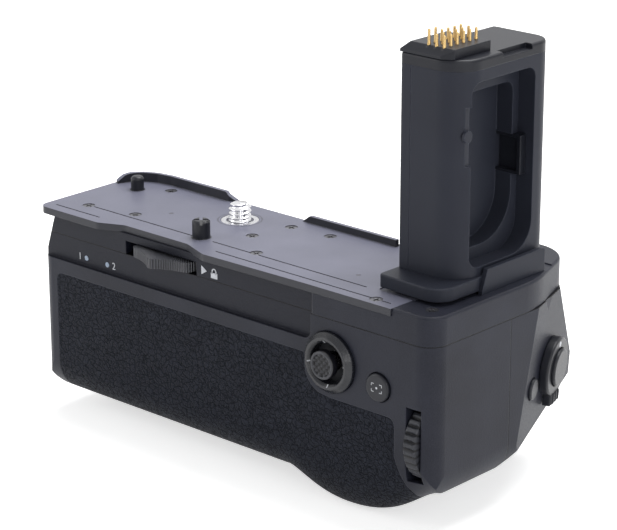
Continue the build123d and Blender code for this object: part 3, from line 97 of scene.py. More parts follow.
right = np.array([math.cos(AZIMUTH), math.sin(AZIMUTH), 0])
forward = np.array([-math.sin(AZIMUTH) * math.cos(ELEVATION), math.cos(AZIMUTH) * math.cos(ELEVATION),
                    -math.sin(ELEVATION)])
up = np.cross(right, forward)
aside = (SCREW_PIXEL[0] - WIDTH / 2) / FOCAL_PIXELS
above = (HEIGHT / 2 - SCREW_PIXEL[1]) / FOCAL_PIXELS
eye = -DISTANCE * (forward + aside * right + above * up)
camera_data = bpy.data.cameras.new("camera")
camera_data.sensor_width = SENSOR_WIDTH
camera_data.lens = FOCAL_PIXELS / WIDTH * SENSOR_WIDTH
camera_data.clip_start = NEAREST_SEEN
camera = bpy.data.objects.new("camera", camera_data)
scene.collection.objects.link(camera)
camera.matrix_world = standing(right, up, -forward, eye)
scene.camera = camera
print("eye at", eye.round(4))

# %% [markdown]
# ## Finishes
# A grip like this is moulded plastic with a fine spark-eroded grain, a painted metal deck, and panels of
# leather-grained rubber. Each finish could be a photograph wrapped round the piece, but noise and cells
# read in object coordinates keep their real size on every face, and they need no unwrapping. So every
# finish here is built from nodes: a tone that drifts a little, a fine grain for the shine, and a bump for
# the relief.

# %% A new material and its noise
NOISE_SPAN = (0.3, 0.7)


def new_material(name):
    """A new node material, its tree, its Principled shader and the object coordinates."""
    material = bpy.data.materials.new(name)
    material.use_nodes = True
    tree = material.node_tree
    place = tree.nodes.new("ShaderNodeTexCoord")
    return material, tree, tree.nodes["Principled BSDF"], place.outputs["Object"]


def noise(tree, place, scale, detail=3.0, output="Fac"):
    """Fractal noise in object coordinates, mostly within NOISE_SPAN; scale is in waves per metre."""
    node = tree.nodes.new("ShaderNodeTexNoise")
    node.inputs["Scale"].default_value = scale
    node.inputs["Detail"].default_value = detail
    tree.links.new(place, node.inputs["Vector"])
    return node.outputs[output]


print("noise mostly lies between", NOISE_SPAN)

# %% Ramps, colours and arithmetic
MIX_FIRST, MIX_SECOND, MIX_RESULT = 6, 7, 2


def ramp(tree, value, low, high, start=0.0, end=1.0):
    """Maps value from start..end to low..high, held at both ends."""
    node = tree.nodes.new("ShaderNodeMapRange")
    node.inputs["From Min"].default_value = start
    node.inputs["From Max"].default_value = end
    node.inputs["To Min"].default_value = low
    node.inputs["To Max"].default_value = high
    tree.links.new(value, node.inputs["Value"])
    return node.outputs["Result"]


def tint(tree, value, dark, light):
    """The colour dark at 0 and light at 1; each is three numbers or another node's colour."""
    node = tree.nodes.new("ShaderNodeMix")
    node.data_type = "RGBA"
    tree.links.new(value, node.inputs["Factor"])
    for socket, colour in ((node.inputs[MIX_FIRST], dark), (node.inputs[MIX_SECOND], light)):
        if isinstance(colour, tuple):
            socket.default_value = (*colour, 1)
        else:
            tree.links.new(colour, socket)
    return node.outputs[MIX_RESULT]


def reckon(tree, kind, first, second=None):
    """One step of arithmetic on values; the second may be a number, or left out where one is enough."""
    node = tree.nodes.new("ShaderNodeMath")
    node.operation = kind
    tree.links.new(first, node.inputs[0])
    if isinstance(second, float):
        node.inputs[1].default_value = second
    elif second is not None:
        tree.links.new(second, node.inputs[1])
    return node.outputs[0]


print("ramps, colours and arithmetic ready")

# %% [markdown]
# ### Relief and edges
# No moulded edge is quite sharp, and no face is quite flat. Both could be modelled, but the bevel node
# rounds the shading of an edge, and the bump node gives relief, without a single new face. A second bump
# is laid over the first by reading its normal.


# %% Tools for relief
def bump(tree, shader, height, strength, depth, under):
    """Relief of depth millimetres from a height between 0 and 1, over the normal under it."""
    node = tree.nodes.new("ShaderNodeBump")
    node.inputs["Strength"].default_value = strength
    node.inputs["Distance"].default_value = depth * MM
    tree.links.new(height, node.inputs["Height"])
    tree.links.new(under, node.inputs["Normal"])
    tree.links.new(node.outputs["Normal"], shader.inputs["Normal"])
    return node.outputs["Normal"]


def soft_edge(tree, shader, radius):
    """Rounds sharp edges in the shading by radius millimetres."""
    node = tree.nodes.new("ShaderNodeBevel")
    node.samples = 4
    node.inputs["Radius"].default_value = radius * MM
    tree.links.new(node.outputs["Normal"], shader.inputs["Normal"])
    return node.outputs["Normal"]


print("relief ready")

# %% [markdown]
# ### Moulded plastic and paint
# The edges of such plastic catch the light, so they look lighter than the faces; here that is painted
# highlight, laid into the base colour. The Geometry node's Pointiness would find edges, but it needs a
# dense mesh. The bevel node's normal differs from the true normal only near an edge, so the angle between
# the two marks the edges on any mesh.

# %% Grained plastic and paint
DRIFT_WAVES, HIGHLIGHT_WAVES = 60.0, 300.0
DRIFT_SHARE, GRAIN_SHARE = 0.6, 0.4
EDGE_DOT, FACE_DOT = 0.75, 0.995
SHINE_SPREAD = 0.06


def worn_edges(tree, soft):
    """Nearly 1 beside a sharp edge and 0 on a face: one less the product of the soft and the true normal."""
    true = tree.nodes.new("ShaderNodeNewGeometry")
    product = tree.nodes.new("ShaderNodeVectorMath")
    product.operation = "DOT_PRODUCT"
    tree.links.new(soft, product.inputs[0])
    tree.links.new(true.outputs["Normal"], product.inputs[1])
    return ramp(tree, product.outputs["Value"], 1.0, 0.0, EDGE_DOT, FACE_DOT)


def grained(name, dark, light, rough, grain=4500.0, depth=0.04, strength=0.5, edge=0.4, edge_light=1.5, level=0.4):
    """Moulded plastic or paint: a drifting tone, a grain depth deep, and a painted highlight that makes edges
    edge_light times as light.
    """
    material, tree, shader, place = new_material(name)
    soft = soft_edge(tree, shader, edge)
    fine = noise(tree, place, grain, detail=2.0)
    drift = reckon(tree, "ADD", reckon(tree, "MULTIPLY", noise(tree, place, DRIFT_WAVES), DRIFT_SHARE),
                   reckon(tree, "MULTIPLY", fine, GRAIN_SHARE))
    face = tint(tree, ramp(tree, drift, 0.0, 1.0, *NOISE_SPAN), dark, light)
    bright = tuple(min(1.0, part * edge_light) for part in light)
    # Painted highlight: the base colour is lighter along the edges, patchy with noise.
    edge_highlight_mask = reckon(tree, "MULTIPLY", worn_edges(tree, soft), noise(tree, place, HIGHLIGHT_WAVES))
    tree.links.new(tint(tree, edge_highlight_mask, face, bright), shader.inputs["Base Color"])
    tree.links.new(ramp(tree, fine, rough - SHINE_SPREAD, rough + SHINE_SPREAD, *NOISE_SPAN),
                   shader.inputs["Roughness"])
    shader.inputs["Specular IOR Level"].default_value = level
    bump(tree, shader, fine, strength, depth, soft)
    return material


shell_grain = grained("shell_grain", (0.012, 0.013, 0.020), (0.024, 0.026, 0.038), 0.42, grain=2600.0,
                      depth=0.07, strength=0.8, edge_light=2.4, level=0.17)
print("shell grain ready")

# %% [markdown]
# ### Seams and the dark panel of the shell
# The mouldings meet in fine lines, darkened with painted shade where shadow falls in their narrow gaps, and
# the sunk panel behind the lock wheel was sprayed darker than the rest. They could be painted on an
# unwrapped image, but both follow from where a point lies, so masks on its coordinates draw them: a band is
# 1 where a coordinate lies between two values.


# %% Tools for masks
def parts_of(material):
    """The tree, the shader and the object coordinates of a finish that was made before."""
    tree = material.node_tree
    place = next(node for node in tree.nodes if node.type == "TEX_COORD").outputs["Object"]
    return tree, tree.nodes["Principled BSDF"], place


def separated(tree, vector):
    """The three parts of a vector, as outputs named X, Y and Z."""
    node = tree.nodes.new("ShaderNodeSeparateXYZ")
    tree.links.new(vector, node.inputs[0])
    return node.outputs


def band(tree, value, low, high, soft):
    """1 where a coordinate is between low and high millimetres, falling to 0 over soft outside them."""
    return reckon(tree, "MULTIPLY", ramp(tree, value, 0.0, 1.0, (low - soft) * MM, low * MM),
                  ramp(tree, value, 1.0, 0.0, high * MM, (high + soft) * MM))


def shade_over(tree, shader, mask, colour):
    """Lays a colour over the shader's base colour where the mask is 1."""
    under = shader.inputs["Base Color"].links[0].from_socket
    tree.links.new(tint(tree, mask, under, colour), shader.inputs["Base Color"])


print("masks ready")

# %% Seams and panel
PANEL = ((-60.0, 51.2, 0.4), (-26.4, -19.0, 0.5), (-15.8, 1.0, 0.5))
PANEL_SHARE = 0.95
LEVEL_SEAM, LEVEL_SEAM_HALF = -8.0, 0.12
PARTING, PARTING_HALF = 4.4, 0.11
LINE_SOFT, SEAM_FADE = 0.06, 0.1
END_FACE = (91.5, 100.0, 0.2)
shell_tree, shell_shader, shell_place = parts_of(shell_grain)
shell_along = separated(shell_tree, shell_place)
panel_x, panel_y, panel_z = (band(shell_tree, value, *limits) for value, limits in zip(shell_along, PANEL))
panel = reckon(shell_tree, "MULTIPLY", panel_x, reckon(shell_tree, "MULTIPLY", panel_y, panel_z))
darker = reckon(shell_tree, "MULTIPLY", panel, PANEL_SHARE)
shade_over(shell_tree, shell_shader, darker, (0.008, 0.009, 0.016))
# Painted shade: dark lines where shadow falls in the narrow gaps between the mouldings.
seam = band(shell_tree, shell_along["Z"], LEVEL_SEAM - LEVEL_SEAM_HALF, LEVEL_SEAM + LEVEL_SEAM_HALF,
            LINE_SOFT)
upright_line = band(shell_tree, shell_along["Y"], PARTING - PARTING_HALF, PARTING + PARTING_HALF, LINE_SOFT)
under_seam = ramp(shell_tree, shell_along["Z"], 1.0, 0.0, (LEVEL_SEAM - SEAM_FADE) * MM,
                  (LEVEL_SEAM + SEAM_FADE) * MM)
parting = reckon(shell_tree, "MULTIPLY", band(shell_tree, shell_along["X"], *END_FACE),
                 reckon(shell_tree, "MULTIPLY", upright_line, under_seam))
shade_over(shell_tree, shell_shader, reckon(shell_tree, "MAXIMUM", seam, parting), (0.004, 0.004, 0.006))
print("level seam at z", LEVEL_SEAM, "and parting line at y", PARTING)

# %% [markdown]
# ### Other plastics
# The controls and the tower come out of other moulds than the shell, with a finer grain and another
# shine, and the joystick's ring is nearly glossy. A material for each could be built from nothing, but
# they differ only in tone, grain and shine, so the same tool makes them all.

# %% Other plastics
control_plastic = grained("control_plastic", (0.008, 0.009, 0.013), (0.014, 0.015, 0.021), 0.34, edge_light=2.0,
                          level=0.28)
tower_satin = grained("tower_satin", (0.020, 0.022, 0.032), (0.026, 0.029, 0.041), 0.46, grain=5000.0,
                      depth=0.03, edge_light=3.0, level=0.16)
cap_gloss = grained("cap_gloss", (0.006, 0.007, 0.011), (0.011, 0.012, 0.018), 0.38, grain=5000.0, depth=0.02,
                    edge_light=2.4, level=0.26)
ring_gloss = grained("ring_gloss", (0.006, 0.007, 0.011), (0.010, 0.011, 0.016), 0.24, grain=5000.0,
                     depth=0.02, edge_light=2.0, level=0.45)
white_plastic = grained("white_plastic", (0.70, 0.70, 0.68), (0.78, 0.78, 0.76), 0.4, edge_light=1.1)
board_resist = grained("board_resist", (0.02, 0.10, 0.05), (0.03, 0.14, 0.07), 0.35)
light_lens = grained("light_lens", (0.26, 0.33, 0.44), (0.36, 0.44, 0.56), 0.18, edge_light=1.1, level=0.5)
mark_paint = grained("mark_paint", (0.52, 0.54, 0.58), (0.66, 0.68, 0.72), 0.5, grain=9000.0, depth=0.01,
                     strength=0.2, edge=0.05, edge_light=1.0)
print("plastics and printing paint ready")

# %% [markdown]
# ### The deck
# The deck is a metal plate with a fine black satin paint. Its light bluish grey colour here is painted
# sheen: the grazing reflection of the light from above. Round the screw runs a thin turned line, and two
# small dimples locate the plate in its press. They could be cut into the mesh, but at a tenth of a
# millimetre deep a bump driven by the distance from a centre shows the same, with painted shade in them.
# Only the faces that look up carry the painted sheen: the lean of the surface picks out the steep cut
# edges, which stay darker.

# %% Deck paint with its turned line and dimples
TURNED_LINE, LINE_INNER, LINE_OUTER = 6.2, 0.06, 0.16
DIMPLES = ((-18.2, -8.9), (55.8, -13.6))
DIMPLE_FLOOR, DIMPLE_RIM = 0.45, 0.8
SUNK_SHADE_SHARE, SUNK_STRENGTH, SUNK_DEPTH = 0.75, 0.8, 0.2
STEEP, LEVEL = 0.2, 0.5


def distance_from(tree, place, centre):
    """The distance in metres of each point from a centre."""
    node = tree.nodes.new("ShaderNodeVectorMath")
    node.operation = "DISTANCE"
    tree.links.new(place, node.inputs[0])
    node.inputs[1].default_value = centre
    return node.outputs["Value"]


# Painted sheen: this light bluish grey stands in for the top light's grazing reflection on black satin paint.
deck_sheen_paint = grained("deck_sheen_paint", (0.115, 0.118, 0.160), (0.155, 0.158, 0.212), 0.42, grain=6500.0,
                     depth=0.03, strength=0.6, edge_light=1.4, level=0.35)
deck_tree, deck_shader, deck_place = parts_of(deck_sheen_paint)
off_line = reckon(deck_tree, "SUBTRACT", distance_from(deck_tree, deck_place, (0, 0, 0)), TURNED_LINE * MM)
sunk_and_shaded = ramp(deck_tree, reckon(deck_tree, "ABSOLUTE", off_line), 1.0, 0.0, LINE_INNER * MM, LINE_OUTER * MM)
for dimple_x, dimple_y in DIMPLES:
    from_dimple = distance_from(deck_tree, deck_place, (dimple_x * MM, dimple_y * MM, 0))
    sunk_and_shaded = reckon(deck_tree, "MAXIMUM", sunk_and_shaded,
                  ramp(deck_tree, from_dimple, 1.0, 0.0, DIMPLE_FLOOR * MM, DIMPLE_RIM * MM))
# Painted shade: the turned line and the dimples are darkened as well as sunk.
shade_over(deck_tree, deck_shader, reckon(deck_tree, "MULTIPLY", sunk_and_shaded, SUNK_SHADE_SHARE), (0.05, 0.05, 0.06))
deck_grain = deck_shader.inputs["Normal"].links[0].from_socket
bump(deck_tree, deck_shader, sunk_and_shaded, SUNK_STRENGTH, SUNK_DEPTH, deck_grain).node.invert = True
# Painted light: only faces that look up carry the painted sheen; steep faces such as the cut edges keep a
# darker colour.
lean = separated(deck_tree, deck_tree.nodes.new("ShaderNodeNewGeometry").outputs["True Normal"])["Z"]
shade_over(deck_tree, deck_shader, ramp(deck_tree, lean, 1.0, 0.0, STEEP, LEVEL), (0.022, 0.023, 0.031))
print("deck paint with", len(DIMPLES), "dimples")

# %% [markdown]
# ### Rubber
# The hand panels are rubber moulded with a leather grain: uneven plates a millimetre or two wide, parted
# by thin creases, with finer cracks inside them. A Voronoi texture gives the plates. Its cells are too
# regular alone, so noise pushes the coordinates about first, and a second, smaller set of cells adds the
# cracks.

# %% Leather-grained rubber
CELL_WAVES, CRACK_WAVES = 600.0, 1260.0
CREASE_WIDTH, CRACK_WIDTH = 0.13, 0.11
PLATE_SHARE, CRACK_SHARE = 0.58, 0.42
WARP_WAVES, WARP_REACH = 420.0, (0.0032, 0.0032, 0.0026)
PATCH_WAVES, PATCH_LEAST = 110.0, 0.75
CREASE_ROUGH, PLATE_ROUGH, RUBBER_SHINE = 0.80, 0.48, 0.09
PLATE_STRENGTH, PLATE_DEPTH, PANEL_EDGE = 1.0, 0.40, 0.5
PORE_WAVES, PORE_STRENGTH, PORE_DEPTH = 5000.0, 0.25, 0.03


def leather(name, dark, light):
    """Rubber whose height is the distance to the nearest crease, from two sizes of warped cells."""
    material, tree, shader, place = new_material(name)
    warped = tree.nodes.new("ShaderNodeVectorMath")
    warped.operation = "MULTIPLY_ADD"
    tree.links.new(noise(tree, place, WARP_WAVES, output="Color"), warped.inputs[0])
    warped.inputs[1].default_value = WARP_REACH
    tree.links.new(place, warped.inputs[2])
    heights = []
    for waves, width in ((CELL_WAVES, CREASE_WIDTH), (CRACK_WAVES, CRACK_WIDTH)):
        cells = tree.nodes.new("ShaderNodeTexVoronoi")
        cells.feature = "DISTANCE_TO_EDGE"
        cells.inputs["Scale"].default_value = waves
        tree.links.new(warped.outputs["Vector"], cells.inputs["Vector"])
        heights.append(ramp(tree, cells.outputs["Distance"], 0.0, 1.0, 0.0, width))
    height = reckon(tree, "ADD", reckon(tree, "MULTIPLY", heights[0], PLATE_SHARE),
                    reckon(tree, "MULTIPLY", heights[1], CRACK_SHARE))
    patches = ramp(tree, noise(tree, place, PATCH_WAVES), PATCH_LEAST, 1.0, *NOISE_SPAN)
    # Painted shade: the colour is darker in the creases and cracks and lighter on the plates.
    crease_shade_tone = tint(tree, reckon(tree, "MULTIPLY", height, patches), dark, light)
    tree.links.new(crease_shade_tone, shader.inputs["Base Color"])
    tree.links.new(ramp(tree, height, CREASE_ROUGH, PLATE_ROUGH), shader.inputs["Roughness"])
    shader.inputs["Specular IOR Level"].default_value = RUBBER_SHINE
    plates = bump(tree, shader, height, PLATE_STRENGTH, PLATE_DEPTH, soft_edge(tree, shader, PANEL_EDGE))
    bump(tree, shader, noise(tree, place, PORE_WAVES, detail=2.0), PORE_STRENGTH, PORE_DEPTH, plates)
    return material


grip_leather = leather("grip_leather", (0.0006, 0.0008, 0.0025), (0.019, 0.022, 0.033))
plain_rubber = grained("plain_rubber", (0.012, 0.013, 0.016), (0.019, 0.020, 0.024), 0.6, grain=3000.0,
                       edge_light=3.0, level=0.2)
print("plates about", round(1 / CELL_WAVES / MM, 1), "mm wide")

# %% [markdown]
# ### Metals
# The screw is bright turned steel, the small screws are blackened, and the contacts are gold plated. Each
# could be one flat metallic colour, but real metal is never even, so one tool makes metals whose tone and
# shine vary along fine marks, with a shallow bump.

# %% Metals
MARK_WAVES, MARK_STRENGTH, MARK_DEPTH = 2500.0, 0.3, 0.01
METAL_EDGE = 0.12
DULLER, BRIGHTER = 0.08, 0.05


def metal(name, dark, light, rough):
    """Turned or plated metal with fine scratches and an uneven shine."""
    material, tree, shader, place = new_material(name)
    marks = noise(tree, place, MARK_WAVES)
    tree.links.new(tint(tree, marks, dark, light), shader.inputs["Base Color"])
    shader.inputs["Metallic"].default_value = 1.0
    shine = ramp(tree, marks, rough - BRIGHTER, rough + DULLER, *NOISE_SPAN)
    tree.links.new(shine, shader.inputs["Roughness"])
    bump(tree, shader, marks, MARK_STRENGTH, MARK_DEPTH, soft_edge(tree, shader, METAL_EDGE))
    return material


turned_steel = metal("turned_steel", (0.55, 0.55, 0.57), (0.70, 0.70, 0.72), 0.24)
bright_steel = metal("bright_steel", (0.72, 0.72, 0.74), (0.84, 0.84, 0.86), 0.13)
black_oxide = metal("black_oxide", (0.10, 0.10, 0.11), (0.20, 0.20, 0.22), 0.34)
gold_plate = metal("gold_plate", (0.40, 0.27, 0.11), (0.62, 0.44, 0.20), 0.34)
print("metals ready")

# %% [markdown]
# ### Ribs, grooves and pits
# The lock wheel carries fine upright ribs on its scalloped rim. Cutting them would need thousands of
# small faces, so a wave of the angle about the wheel's axle drives a bump, and painted shade darkens the
# valleys between the ribs. The dials' teeth are in the solids, and there the same wave only paints shade
# into each groove, which is what makes it readable. A pit of the joystick's cap gets painted shade too,
# and lies where the surface is furthest back; the cap's lighter points are painted highlight.

# %% Ribbed wheel, grooved dials and pitted cap
WHEEL_AXLE, WHEEL_RIBS = (-4.5, -16.5), 124
REAR_DIAL_AXLE, REAR_DIAL_TEETH = (-18.4, -35.8), 32
FRONT_DIAL_AXLE, FRONT_DIAL_TEETH = (23.8, -19.0), 24
RIB_STRENGTH, RIB_DEPTH = 0.9, 0.2
RIB_VALLEY, RIB_FLANK, RIB_SHADE = -0.9, 0.1, 0.85
GROOVE_FLANK, GROOVE_FLOOR, GROOVE_SHADE = 0.1, 0.85, 0.92
PIT_TOP, PIT_FLOOR, TOP_SHADE, PIT_SHADE = -31.22, -30.9, 0.1, 0.97


def turns(tree, across, upward, centre, count):
    """Count times the angle about an axle, from the two distances to its centre in millimetres."""
    angle = reckon(tree, "ARCTAN2", reckon(tree, "SUBTRACT", upward, centre[1] * MM),
                   reckon(tree, "SUBTRACT", across, centre[0] * MM))
    return reckon(tree, "MULTIPLY", angle, float(count))


def ribbed(name, axle, ribs):
    """Plastic whose bump is the sine of ribs times the angle round a vertical axle, with painted shade
    between the ribs.
    """
    material = grained(name, (0.055, 0.057, 0.068), (0.095, 0.098, 0.115), 0.35, edge_light=1.8)
    tree, shader, place = parts_of(material)
    along = separated(tree, place)
    wave = reckon(tree, "SINE", turns(tree, along["X"], along["Y"], axle, ribs))
    bump(tree, shader, wave, RIB_STRENGTH, RIB_DEPTH, shader.inputs["Normal"].links[0].from_socket)
    # Painted shade between the ribs.
    shade_between_ribs = ramp(tree, wave, RIB_SHADE, 0.0, RIB_VALLEY, RIB_FLANK)
    shade_over(tree, shader, shade_between_ribs, (0.012, 0.012, 0.015))
    return material


def grooved(name, axle, teeth):
    """Rubber with painted shade where the cosine of teeth times the angle round an axle along x is near 1."""
    material = grained(name, (0.020, 0.021, 0.027), (0.034, 0.036, 0.044), 0.42, grain=3000.0, edge_light=2.2,
                       level=0.3)
    tree, shader, place = parts_of(material)
    along = separated(tree, place)
    wave = reckon(tree, "COSINE", turns(tree, along["Y"], along["Z"], axle, teeth))
    # Painted shade in the grooves between the teeth.
    shade_in_grooves = ramp(tree, wave, 0.0, GROOVE_SHADE, GROOVE_FLANK, GROOVE_FLOOR)
    shade_over(tree, shader, shade_in_grooves, (0.002, 0.002, 0.003))
    return material


wheel_ribs = ribbed("wheel_ribs", WHEEL_AXLE, WHEEL_RIBS)
rear_dial_grooves = grooved("rear_dial_grooves", REAR_DIAL_AXLE, REAR_DIAL_TEETH)
front_dial_grooves = grooved("front_dial_grooves", FRONT_DIAL_AXLE, FRONT_DIAL_TEETH)
# Painted highlight and shade: the points' tips are lighter than the cap's black plastic, and the pits are
# darkened.
cap_lit_tips_shaded_pits = grained("cap_lit_tips_shaded_pits", (0.030, 0.031, 0.038), (0.050, 0.052, 0.062), 0.34, edge_light=1.5, level=0.35)
pit_tree, pit_shader, pit_place = parts_of(cap_lit_tips_shaded_pits)
shade_in_pits = ramp(pit_tree, separated(pit_tree, pit_place)["Y"], TOP_SHADE, PIT_SHADE, PIT_TOP * MM,
            PIT_FLOOR * MM)
shade_over(pit_tree, pit_shader, shade_in_pits, (0.003, 0.003, 0.005))
print(WHEEL_RIBS, "ribs,", REAR_DIAL_TEETH, "and", FRONT_DIAL_TEETH, "grooves")

# %% [markdown]
# ### Giving each solid its finish
# The record names a slot for every solid. The slot decides the finish, and a few solids that look
# different from the rest of their slot are named one by one.

# %% Assign the finishes
finishes = {"shell": shell_grain, "deck": deck_sheen_paint, "rubber": plain_rubber, "controls": control_plastic,
            "tower": tower_satin, "cap": cap_gloss, "steel": turned_steel, "chrome": bright_steel,
            "dark_screw": black_oxide, "gold": gold_plate, "white": white_plastic, "board": board_resist,
            "lens": light_lens}
special = {"rear_rubber": grip_leather, "front_rubber": grip_leather, "lock_wheel": wheel_ribs,
           "stick_ring": ring_gloss, "rear_dial": rear_dial_grooves, "front_dial": front_dial_grooves}
slot_of = {part["node"]: part["material_slot"] for part in frame["record"]["subparts"]}
for name, node in nodes.items():
    node.data.materials.clear()
    node.data.materials.append(special.get(name, finishes[slot_of[name]]))
used = {node.data.materials[0].name for node in nodes.values()}
print(len(nodes), "solids have", len(used), "finishes")

# %% [markdown]
# ## Small shapes
# The solids carry the main forms. What follows are the shapes that are too fine for them: the screw's
# thread, the lattice on the joystick's cap, the tips of the spring pins, and the printed marks. Each is a
# surface over a grid of two parameters. The next tools turn such a grid of points into a mesh, close its
# ends, and join several of them into one piece.


# %% Grids of points
def full_turn(columns):
    """Equal angles round a full turn; the last is one step short of the first."""
    return np.linspace(0, 2 * np.pi, columns, endpoint=False)


def grid_faces(rows, columns, wrap=True):
    """Four corners of each cell of a rows by columns grid; wrap joins the last column to the first."""
    row, column = np.meshgrid(np.arange(rows - 1), np.arange(columns if wrap else columns - 1), indexing="ij")
    beside = (column + 1) % columns
    cells = [row * columns + column, row * columns + beside, (row + 1) * columns + beside,
             (row + 1) * columns + column]
    return np.stack(cells, axis=-1).reshape(-1, 4)


def capped(points, faces, columns):
    """Closes both ends of a wrapped grid with one point each, so that the surface has no hole."""
    first, last = points[:columns].mean(axis=0), points[-columns:].mean(axis=0)
    count = len(points)
    ring = np.arange(columns)
    beside = (ring + 1) % columns
    low = np.stack([np.full(columns, count), beside, ring], axis=1)
    high = np.stack([np.full(columns, count + 1), count - columns + ring, count - columns + beside], axis=1)
    return np.vstack([points, first, last]), list(faces) + list(low) + list(high)


def merged(shapes):
    """Joins pairs of points and faces; each pair's point numbers move on by the points before them."""
    starts = np.cumsum([0] + [len(points) for points, _ in shapes])
    faces = [np.asarray(face) + start for (_, own), start in zip(shapes, starts) for face in own]
    return np.vstack([points for points, _ in shapes]), faces


print("a 3 by 4 grid has", len(grid_faces(3, 4)), "faces when it wraps")


# %% From points to a piece
def added(name, mesh, body, finish):
    """Puts a mesh in the scene with its finish, riding on a body."""
    mesh.materials.append(finish)
    piece = bpy.data.objects.new(name, mesh)
    scene.collection.objects.link(piece)
    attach(piece, body)
    return piece


def piece_from(name, points, faces, body, finish, smooth=True):
    """A piece from points in millimetres and faces."""
    mesh = bpy.data.meshes.new(name)
    mesh.from_pydata((np.asarray(points, float) * MM).tolist(), [], [list(map(int, face)) for face in faces])
    mesh.polygons.foreach_set("use_smooth", np.full(len(mesh.polygons), smooth))
    mesh.validate()
    return added(name, mesh, body, finish)


def box_of(node_name):
    """The lowest and the highest corner of a solid's box in millimetres."""
    return 1000 * np.array(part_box(node_name))


print("pieces can be made")

# %% [markdown]
# ### The attachment screw
# The screw that holds the camera is a quarter inch screw with 20 threads to the inch. A helix could be
# swept with the Screw modifier, but its ends then need trimming. Here the radius is a function of height
# and angle: a rounded sawtooth that climbs one pitch for each turn, faded out at the shank and at the
# lead cone.

# %% The screw's thread
SCREW_RADIUS, SCREW_PITCH, SCREW_DEPTH = 3.175, 1.27, 0.62
THREAD_START, FADE_START, FADE_LONG = -0.25, 0.1, 0.8
LEAD_LONG, TIP_SHARE = 0.9, 0.74
VALLEY_TOP, VALLEY_SLOPE = 1.18, 2.36
SCREW_COLUMNS, ROWS_PER_MM = 96, 16
screw_low, screw_high = box_of("attachment_screw")


def thread(high):
    """Points at radius less depth times a wave of height/pitch less angle/turn, so that the crest climbs."""
    height = np.linspace(THREAD_START, high, int((high - THREAD_START) * ROWS_PER_MM))
    z, angle = np.meshgrid(height, full_turn(SCREW_COLUMNS), indexing="ij")
    phase = (z / SCREW_PITCH - angle / (2 * np.pi)) % 1.0
    valley = np.clip(VALLEY_TOP - VALLEY_SLOPE * np.abs(phase - 0.5), 0, 1)
    grow = np.clip((z - FADE_START) / FADE_LONG, 0, 1)
    cone = np.clip(high - z, 0, LEAD_LONG) / LEAD_LONG
    reach = (SCREW_RADIUS - SCREW_DEPTH * valley * grow) * (TIP_SHARE + (1 - TIP_SHARE) * cone)
    return np.stack([reach * np.cos(angle), reach * np.sin(angle), z], axis=-1).reshape(-1, 3), len(height)


thread_points, thread_rows = thread(float(screw_high[2]))
print("screw from", screw_low.round(2), "to", screw_high.round(2))

# %% [markdown]
# Below the deck the screw has a journal, a neck and a collar, which are plain turned steps. They could be
# pieces of their own, but rings of the same count as the thread's go under it in one closed surface.


# %% The whole screw in one surface
def turned_rings(profile, columns):
    """Rings of a turned piece: each pair of height and radius is carried round the z axis."""
    height, reach = np.array(profile, float).T
    angle = full_turn(columns)
    return np.stack([np.outer(reach, np.cos(angle)), np.outer(reach, np.sin(angle)),
                     np.repeat(height[:, None], columns, axis=1)], axis=-1).reshape(-1, 3)


shank_end = float(screw_low[2])
SHANK = [(shank_end, 1.0), (shank_end + 0.2, 1.2), (-4.5, 1.2), (-4.5, 2.4), (-3.0, 2.4), (-3.0, 3.55),
         (-0.3, 3.55), (-0.3, 2.9)]
screw_points = np.vstack([turned_rings(SHANK, SCREW_COLUMNS), thread_points])
screw_faces = grid_faces(len(SHANK) + thread_rows, SCREW_COLUMNS)
screw_points, screw_faces = capped(screw_points, screw_faces, SCREW_COLUMNS)
thread_piece = piece_from("threaded_screw", screw_points, screw_faces, "screw", bright_steel)
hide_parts("attachment_screw")
print("screw has", len(screw_faces), "faces and", round(float(screw_high[2]) / SCREW_PITCH, 1), "turns")

# %% [markdown]
# ### Spring contacts
# Eighteen gold pins carry the signals to the camera. On the real ones a narrow plunger with a round tip
# slides in a wider barrel. They could be arrayed with a modifier, but one turned pin added to a table of
# places gives all of them in one sum of arrays. Two pins stand a millimetre taller, since they must touch
# first.

# %% Spring contacts
PIN_FIRST, PIN_PITCH, PIN_COLUMNS, PIN_ROWS, PIN_SIDES = (74.9, -9.3), 2.5, 3, 6, 16
TALLER, TALLER_PINS = 1.0, 2
BARREL_TOP = 64.6
BARREL = np.array([(0.0, 0.42), (0.04, 0.45), (1.0, 0.45)])
PLUNGER = np.array([(0.08, 0.36), (0.86, 0.36), (0.94, 0.33), (0.98, 0.27), (1.0, 0.18)])
pin_low, pin_high = box_of("contact_pins")
across, along = np.meshgrid(np.arange(PIN_COLUMNS), np.arange(PIN_ROWS), indexing="ij")
pin_x = (PIN_FIRST[0] + PIN_PITCH * across).ravel()
pin_y = (PIN_FIRST[1] + PIN_PITCH * along).ravel()
pin_tops = np.full(len(pin_x), float(pin_high[2]) - TALLER)
pin_tops[:TALLER_PINS] += TALLER
print(len(pin_x), "contacts up to z", round(float(pin_tops.max()), 2))

